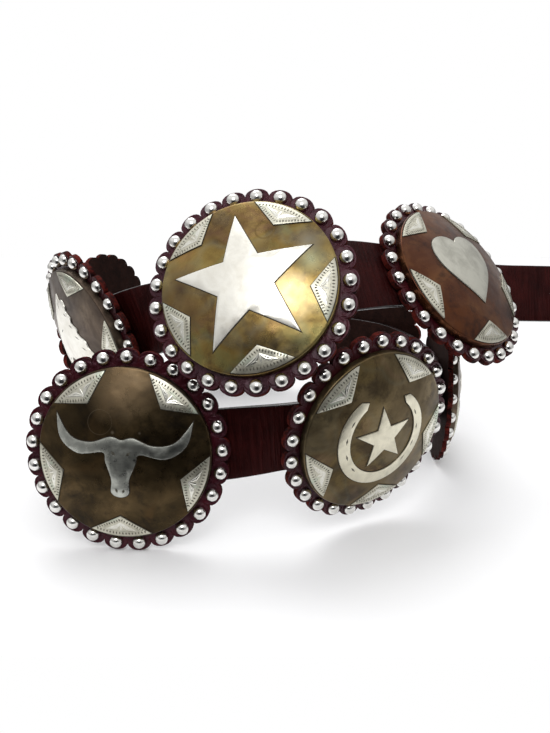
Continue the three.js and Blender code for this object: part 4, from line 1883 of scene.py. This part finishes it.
@dataclass
class Strap:
    """Leather strap, from behind the first concho to the tail.

    It lies flat for seat millimetres to both sides of a stop. Between two stops it follows a
    cubic curve whose middle points stand reach, a share of its span, from its ends. Its lean
    changes only after the share twist of a bend, and until that share before the end.
    """

    route: Route
    finishes: Finishes
    before: float = 38.0
    seat: float = 7.0
    reach: float = 0.27
    twist: float = 0.3
    tail: float = 78.0
    tip: float = 24.0
    tip_turn: float = 83.0
    holes: int = 3
    hole: float = 4.0
    hole_spacing: float = 16.0
    hole_sides: int = 24
    pin_length: float = 14.0
    edge_round: float = 0.75
    edge_segments: int = 3
    lanes: int = 3
    lane_width: float = 4.7
    bend_steps: int = 24
    tail_steps: int = 30
    side_from: float = 0.8

    @property
    def tip_cut(self) -> float:
        """Length that the blunt end takes off the round tip."""
        return self.tip * (1 - math.sin(math.radians(self.tip_turn)))

    def station(self, distance: float, point: Vector, tangent: Vector, turn: float,
                lean: float) -> Station:
        """Cross-section at a point of the path.

        Args:
            distance: Distance along the strap.
            point: Middle of the outer face.
            tangent: The path's direction.
            turn: Where the face looks, in degrees.
            lean: How far it looks up, in degrees.

        Returns:
            The station.
        """
        ahead = tangent.normalized()
        up = Stop("", 0, 0, 0, turn, lean, 0).up()
        across = (up - ahead * up.dot(ahead)).normalized()
        return Station(distance, point, across, ahead.cross(across))

    def bend(self, first: Stop, last: Stop, flat_end: float, start: float) -> list[Station]:
        """Stations of the bend from one stop to the next.

        Args:
            first: The stop where it starts.
            last: The stop where it ends.
            flat_end: Flat strap before the last stop.
            start: Distance along the strap at which it starts.

        Returns:
            The stations.
        """
        a = self.route.strap(first) + first.along() * self.seat
        d = self.route.strap(last) - last.along() * flat_end
        reach = (d - a).length * self.reach
        b = a + first.along() * reach
        c = d - last.along() * reach
        made = []
        distance, previous = start, a
        for k in range(self.bend_steps + 1):
            t = k / self.bend_steps
            s = 1 - t
            near_a, near_b, near_c, near_d = pulls(t)
            point = a * near_a + b * near_b + c * near_c + d * near_d
            tangent = (b - a) * s * s + (c - b) * (2 * s * t) + (d - c) * t * t
            eased = min(1.0, max(0.0, (t - self.twist) / (1 - 2 * self.twist)))
            eased = eased * eased * (3 - 2 * eased)
            turn = first.turn + (last.turn - first.turn) * t
            lean = first.lean + (last.lean - first.lean) * eased
            distance += (point - previous).length
            previous = point
            made.append(self.station(distance, point, tangent, turn, lean))
        return made

    def stations(self) -> list[Station]:
        """All stations, from the buckle end to the tip.

        Returns:
            The stations, in order.
        """
        first = ROUTE[0]
        here = self.route.strap(first) - first.along() * self.before
        made = [self.station(0.0, here, first.along(), first.turn, first.lean)]
        for stop, following in zip(ROUTE, ROUTE[1:] + [TAIL]):
            here = self.route.strap(stop) + stop.along() * self.seat
            start = made[-1].distance + (here - made[-1].point).length
            flat_end = 0.0 if following is TAIL else self.seat
            made += self.bend(stop, following, flat_end, start)
        here = self.route.strap(TAIL) + TAIL.along() * self.tail
        end = made[-1].distance + self.tail
        made.append(self.station(end, here, TAIL.along(), TAIL.turn, TAIL.lean))
        return made

    def width_share(self, left: float) -> float:
        """Share of the full width, near the tip.

        Args:
            left: Strap left until the tip.

        Returns:
            The share.
        """
        into = self.tip - left - self.tip_cut
        if into <= 0:
            return 1.0
        return math.cos(math.asin(min(1.0, into / self.tip)))

    def build(self) -> bmesh.types.BMesh:
        """Bends a straight strap onto the path.

        Returns:
            The mesh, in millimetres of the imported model's place.
        """
        stations = self.stations()
        length = stations[-1].distance - self.tip_cut
        bm = bmesh.new()
        shape = Matrix.Diagonal((length, SIZES.strap_width, SIZES.strap_thickness, 1))
        middle = Matrix.Translation((length / 2, 0, -SIZES.strap_thickness / 2))
        bmesh.ops.create_cube(bm, size=1, matrix=middle @ shape)
        runs = [e for e in bm.edges if abs(e.verts[0].co.x - e.verts[1].co.x) > 1]
        round_off(bm, runs, self.edge_round, self.edge_segments)
        for k in range(-self.lanes, self.lanes + 1):
            slice_across(bm, (0, 1, 0), k * self.lane_width)
        cuts = sorted({round(station.distance, 2) for station in stations[1:-1]})
        flat = length - cuts[-1]
        cuts += [cuts[-1] + flat * k / self.tail_steps for k in range(1, self.tail_steps)]
        for distance in cuts:
            slice_across(bm, (1, 0, 0), distance)
        sort_leather(bm, self.side_from, -self.side_from)
        self.lay_out(bm)
        self.follow(bm, stations, length)
        return bm

    def lay_out(self, bm: bmesh.types.BMesh) -> None:
        """Writes the straight strap's own x and y, in metres, to its UV map.

        Args:
            bm: The straight strap.
        """
        layer = bm.loops.layers.uv.new(Place.STRAP.value)
        for face in bm.faces:
            for loop in face.loops:
                loop[layer].uv = (loop.vert.co.x * MILLIMETRE, loop.vert.co.y * MILLIMETRE)

    def follow(self, bm: bmesh.types.BMesh, stations: Sequence[Station], length: float) -> None:
        """Moves every point of the straight strap to its place on the path.

        Args:
            bm: The straight strap.
            stations: The path.
            length: The straight strap's length.
        """
        for vert in bm.verts:
            along, side, depth = vert.co
            side *= self.width_share(length - along)
            past = (k for k, station in enumerate(stations) if station.distance >= along - TINY)
            after = max(1, next(past, len(stations) - 1))
            first, last = stations[after - 1], stations[after]
            share = (along - first.distance) / max(TINY, last.distance - first.distance)
            across = first.across.lerp(last.across, share).normalized()
            normal = first.normal.lerp(last.normal, share).normalized()
            vert.co = first.point.lerp(last.point, share) + across * side + normal * depth

    def drills(self) -> bmesh.types.BMesh:
        """Pins that cut the post holes and the tail's holes.

        Returns:
            The mesh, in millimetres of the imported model's place.
        """
        bm = bmesh.new()
        places = [(stop, self.route.strap(stop), SIZES.post_hole) for stop in ROUTE]
        for k in range(self.holes):
            distance = self.tail - self.tip - k * self.hole_spacing
            places.append((TAIL, self.route.strap(TAIL) + TAIL.along() * distance, self.hole))
        for stop, centre, diameter in places:
            bmesh.ops.create_cone(bm, cap_ends=True, segments=self.hole_sides,
                                  radius1=diameter / 2, radius2=diameter / 2,
                                  depth=self.pin_length,
                                  matrix=Matrix.Translation(centre) @ stop.axes())
        return bm

    def make(self, shop: Workshop) -> None:
        """Builds the strap, punches its holes and delivers it.

        Args:
            shop: Where the piece is delivered.
        """
        body = linked("strap_blank", released(self.build(), "strap_blank"))
        tool = linked("strap_pins", released(self.drills(), "strap_pins"))
        punch = body.modifiers.new("punch", "BOOLEAN")
        punch.operation = "DIFFERENCE"
        punch.solver = "EXACT"
        punch.object = tool
        bpy.context.view_layer.update()
        depsgraph = bpy.context.evaluated_depsgraph_get()
        punched = bpy.data.meshes.new_from_object(body.evaluated_get(depsgraph))
        bm = bmesh.new()
        bm.from_mesh(punched)
        for item in (body, tool):
            bpy.data.objects.remove(item)
        leather = [self.finishes.strap_grain, self.finishes.strap_edge, self.finishes.flesh]
        shop.deliver(bm, "leather_strap", leather, ["strap"],
                     Matrix.Scale(MILLIMETRE, 4), sharp=40)


@dataclass
class Concho:
    """One concho with its rosette and studs.

    motif_turn and corner_turn are degrees clockwise from the top of the face.
    """

    stop: Stop
    motif: Motif
    motif_turn: float
    corner_turn: float
    patina: bpy.types.Material
    metal: bpy.types.Material

    def make(self, shop: Workshop, route: Route, finishes: Finishes, seed: int) -> None:
        """Builds every piece of the concho.

        Args:
            shop: Where the pieces are delivered.
            route: The belt's path.
            finishes: The shared materials.
            seed: Start of the small differences between studs.
        """
        placement = route.placement(self.stop)
        Rosette(self.stop, finishes).make(shop, placement)
        StudRing(self.stop, finishes).make(shop, placement, seed)
        Dome(self.stop, self.patina, finishes).make(shop, placement)
        Overlays(self.stop, self.motif, self.motif_turn, self.corner_turn, self.metal,
                 finishes).make(shop, placement)


@dataclass(frozen=True)
class Softbox:
    """Square light. Its side is in metres, and its power in watts."""

    name: str
    place: tuple[float, float, float]
    side: float
    power: float

    def hang(self, aim: Vector) -> None:
        """Hangs the light, so that it looks at a point.

        Args:
            aim: The point, in metres.
        """
        light = bpy.data.lights.new(self.name, "AREA")
        light.size = self.side
        light.energy = self.power
        lamp = linked(self.name, light)
        lamp.location = self.place
        lamp.rotation_euler = (aim - Vector(self.place)).to_track_quat("-Z", "Y").to_euler()


@dataclass
class Studio:
    """Floor, lights and camera, in metres.

    The white surround darkens towards gaze, the way back to the photographer. A direction's
    match with gaze sets the shade, which starts at shade_from and is full at shade_to. Its
    light rises from wall_light at wall_height to roof_light at roof_height.
    """

    SOFTBOXES = (Softbox("key_softbox", (-0.14, -1.18, 1.01), 0.68, 6.2),
                 Softbox("top_softbox", (-0.3, 0.75, 1.8), 1.3, 17.0))

    aim: tuple[float, float, float] = (0.0, 0.0, 0.09)
    camera_place: tuple[float, float, float] = (-0.04335, -0.47626, 0.1885)
    camera_dip: float = 15.0
    camera_reach: float = 50.0
    lens: float = 34.38
    sensor: float = 36.0
    floor_front: float = -0.23
    floor_reach: float = 0.75
    floor_low: Colour = (0.86, 0.86, 0.87)
    floor_high: Colour = (0.89, 0.89, 0.90)
    floor_glow: float = 0.07
    gaze: tuple[float, float, float] = (0.05, -0.97, -0.2)
    shade: Colour = (0.02, 0.02, 0.024)
    shade_from: float = 0.62
    shade_to: float = 0.92
    wall_light: float = 0.5
    wall_height: float = 0.15
    roof_light: float = 0.95
    roof_height: float = 0.65

    def floor(self) -> None:
        """Pale floor that the belt stands on."""
        bm = bmesh.new()
        bmesh.ops.create_grid(bm, x_segments=1, y_segments=1, size=self.floor_reach)
        bmesh.ops.translate(bm, vec=(0, self.floor_reach + self.floor_front, 0), verts=bm.verts)
        mesh = released(bm, "studio_floor")
        recipe = Recipe("studio_floor", metallic=0.0)
        cloud = recipe.noise(3, detail=2, rough=0.5)
        recipe.colour(recipe.tones(cloud, [(0.3, self.floor_low), (0.7, self.floor_high)]))
        recipe.set(Roughness=0.45, Emission_Strength=self.floor_glow, Emission_Color=WHITE)
        mesh.materials.append(recipe.material)
        linked("studio_floor", mesh)

    def surround(self) -> None:
        """White surround that is plain for the camera and shaded in reflections."""
        bpy.context.scene.view_settings.view_transform = "Standard"
        world = bpy.data.worlds.new("studio_surround")
        world.use_nodes = True
        nodes, links = world.node_tree.nodes, world.node_tree.links
        nodes.clear()
        way = nodes.new("ShaderNodeTexCoord")
        dot = nodes.new("ShaderNodeVectorMath")
        dot.operation = "DOT_PRODUCT"
        dot.inputs[1].default_value = Vector(self.gaze).normalized()
        ramp = nodes.new("ShaderNodeValToRGB")
        stops = ((self.shade_from, WHITE), (self.shade_to, self.shade))
        for element, (position, colour) in zip(ramp.color_ramp.elements, stops):
            element.position = position
            element.color = opaque(colour)
        split = nodes.new("ShaderNodeSeparateXYZ")
        rise = nodes.new("ShaderNodeMapRange")
        rise.interpolation_type = "SMOOTHSTEP"
        rise.inputs["From Min"].default_value = self.wall_height
        rise.inputs["From Max"].default_value = self.roof_height
        rise.inputs["To Min"].default_value = self.wall_light
        rise.inputs["To Max"].default_value = self.roof_light
        shade = nodes.new("ShaderNodeBackground")
        light = nodes.new("ShaderNodeBackground")
        light.inputs["Color"].default_value = opaque(WHITE)
        light.inputs["Strength"].default_value = 1.0
        rays = nodes.new("ShaderNodeLightPath")
        share = nodes.new("ShaderNodeMixShader")
        output = nodes.new("ShaderNodeOutputWorld")
        links.new(way.outputs["Generated"], dot.inputs[0])
        links.new(way.outputs["Generated"], split.inputs[0])
        links.new(split.outputs["Z"], rise.inputs["Value"])
        links.new(rise.outputs["Result"], shade.inputs["Strength"])
        links.new(dot.outputs["Value"], ramp.inputs["Fac"])
        links.new(ramp.outputs["Color"], shade.inputs["Color"])
        links.new(rays.outputs["Is Camera Ray"], share.inputs["Fac"])
        links.new(shade.outputs["Background"], share.inputs[1])
        links.new(light.outputs["Background"], share.inputs[2])
        links.new(share.outputs["Shader"], output.inputs["Surface"])
        bpy.context.scene.world = world

    def camera(self) -> None:
        """Camera at the photograph's place and angle."""
        data = bpy.data.cameras.new("camera")
        data.lens = self.lens
        data.sensor_width = self.sensor
        data.clip_end = self.camera_reach
        data.dof.use_dof = False
        camera = linked("camera", data)
        camera.location = self.camera_place
        camera.rotation_euler = (math.radians(90 - self.camera_dip), 0, 0)
        bpy.context.scene.camera = camera

    def make(self) -> None:
        """Sets up the whole studio."""
        self.floor()
        for softbox in self.SOFTBOXES:
            softbox.hang(Vector(self.aim))
        self.surround()
        self.camera()


def dress_hook(finishes: Finishes) -> None:
    """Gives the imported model's own hook its steel.

    Args:
        finishes: The belt's materials.
    """
    hook = next(item for item in bpy.data.objects if item.name.startswith("buckle_hook"))
    hook.data.materials.clear()
    hook.data.materials.append(finishes.steel)


def main() -> None:
    """Builds the belt from the strap outwards, and then the studio."""
    logging.basicConfig(level=logging.INFO, format="%(message)s")
    shop = Workshop()
    route = Route()
    finishes = Finishes()
    Strap(route, finishes).make(shop)
    stops = {stop.name: stop for stop in ROUTE}
    plain = dusky().material()
    conchos = [
        Concho(stops["steer"], Motif.SKULL, 3, 39.3, smoky().material(), finishes.smoked),
        Concho(stops["horseshoe"], Motif.SHOE, 0, 27.9, olive().material(), finishes.cream),
        Concho(stops["right"], Motif.STAR, 0, 36, plain, finishes.overlay),
        Concho(stops["rear_right"], Motif.STAR, 0, 36, plain, finishes.overlay),
        Concho(stops["rear_left"], Motif.STAR, 0, 36, plain, finishes.overlay),
        Concho(stops["left_rear"], Motif.STAR, 0, 36, plain, finishes.overlay),
        Concho(stops["horse"], Motif.HORSE, -12.4, 12, plain, finishes.overlay),
        Concho(stops["star"], Motif.STAR, -16.9, 18.4, golden().material(), finishes.overlay),
        Concho(stops["heart"], Motif.HEART, 4.8, 44, coppery().material(), finishes.satin),
    ]
    for seed, concho in enumerate(conchos):
        concho.make(shop, route, finishes, seed)
    dress_hook(finishes)
    LOG.info("buckle_hook: the packed solid, in steel")
    Studio().make()
    LOG.info("%d pieces", len(shop.made))


if __name__ == "__main__":
    main()
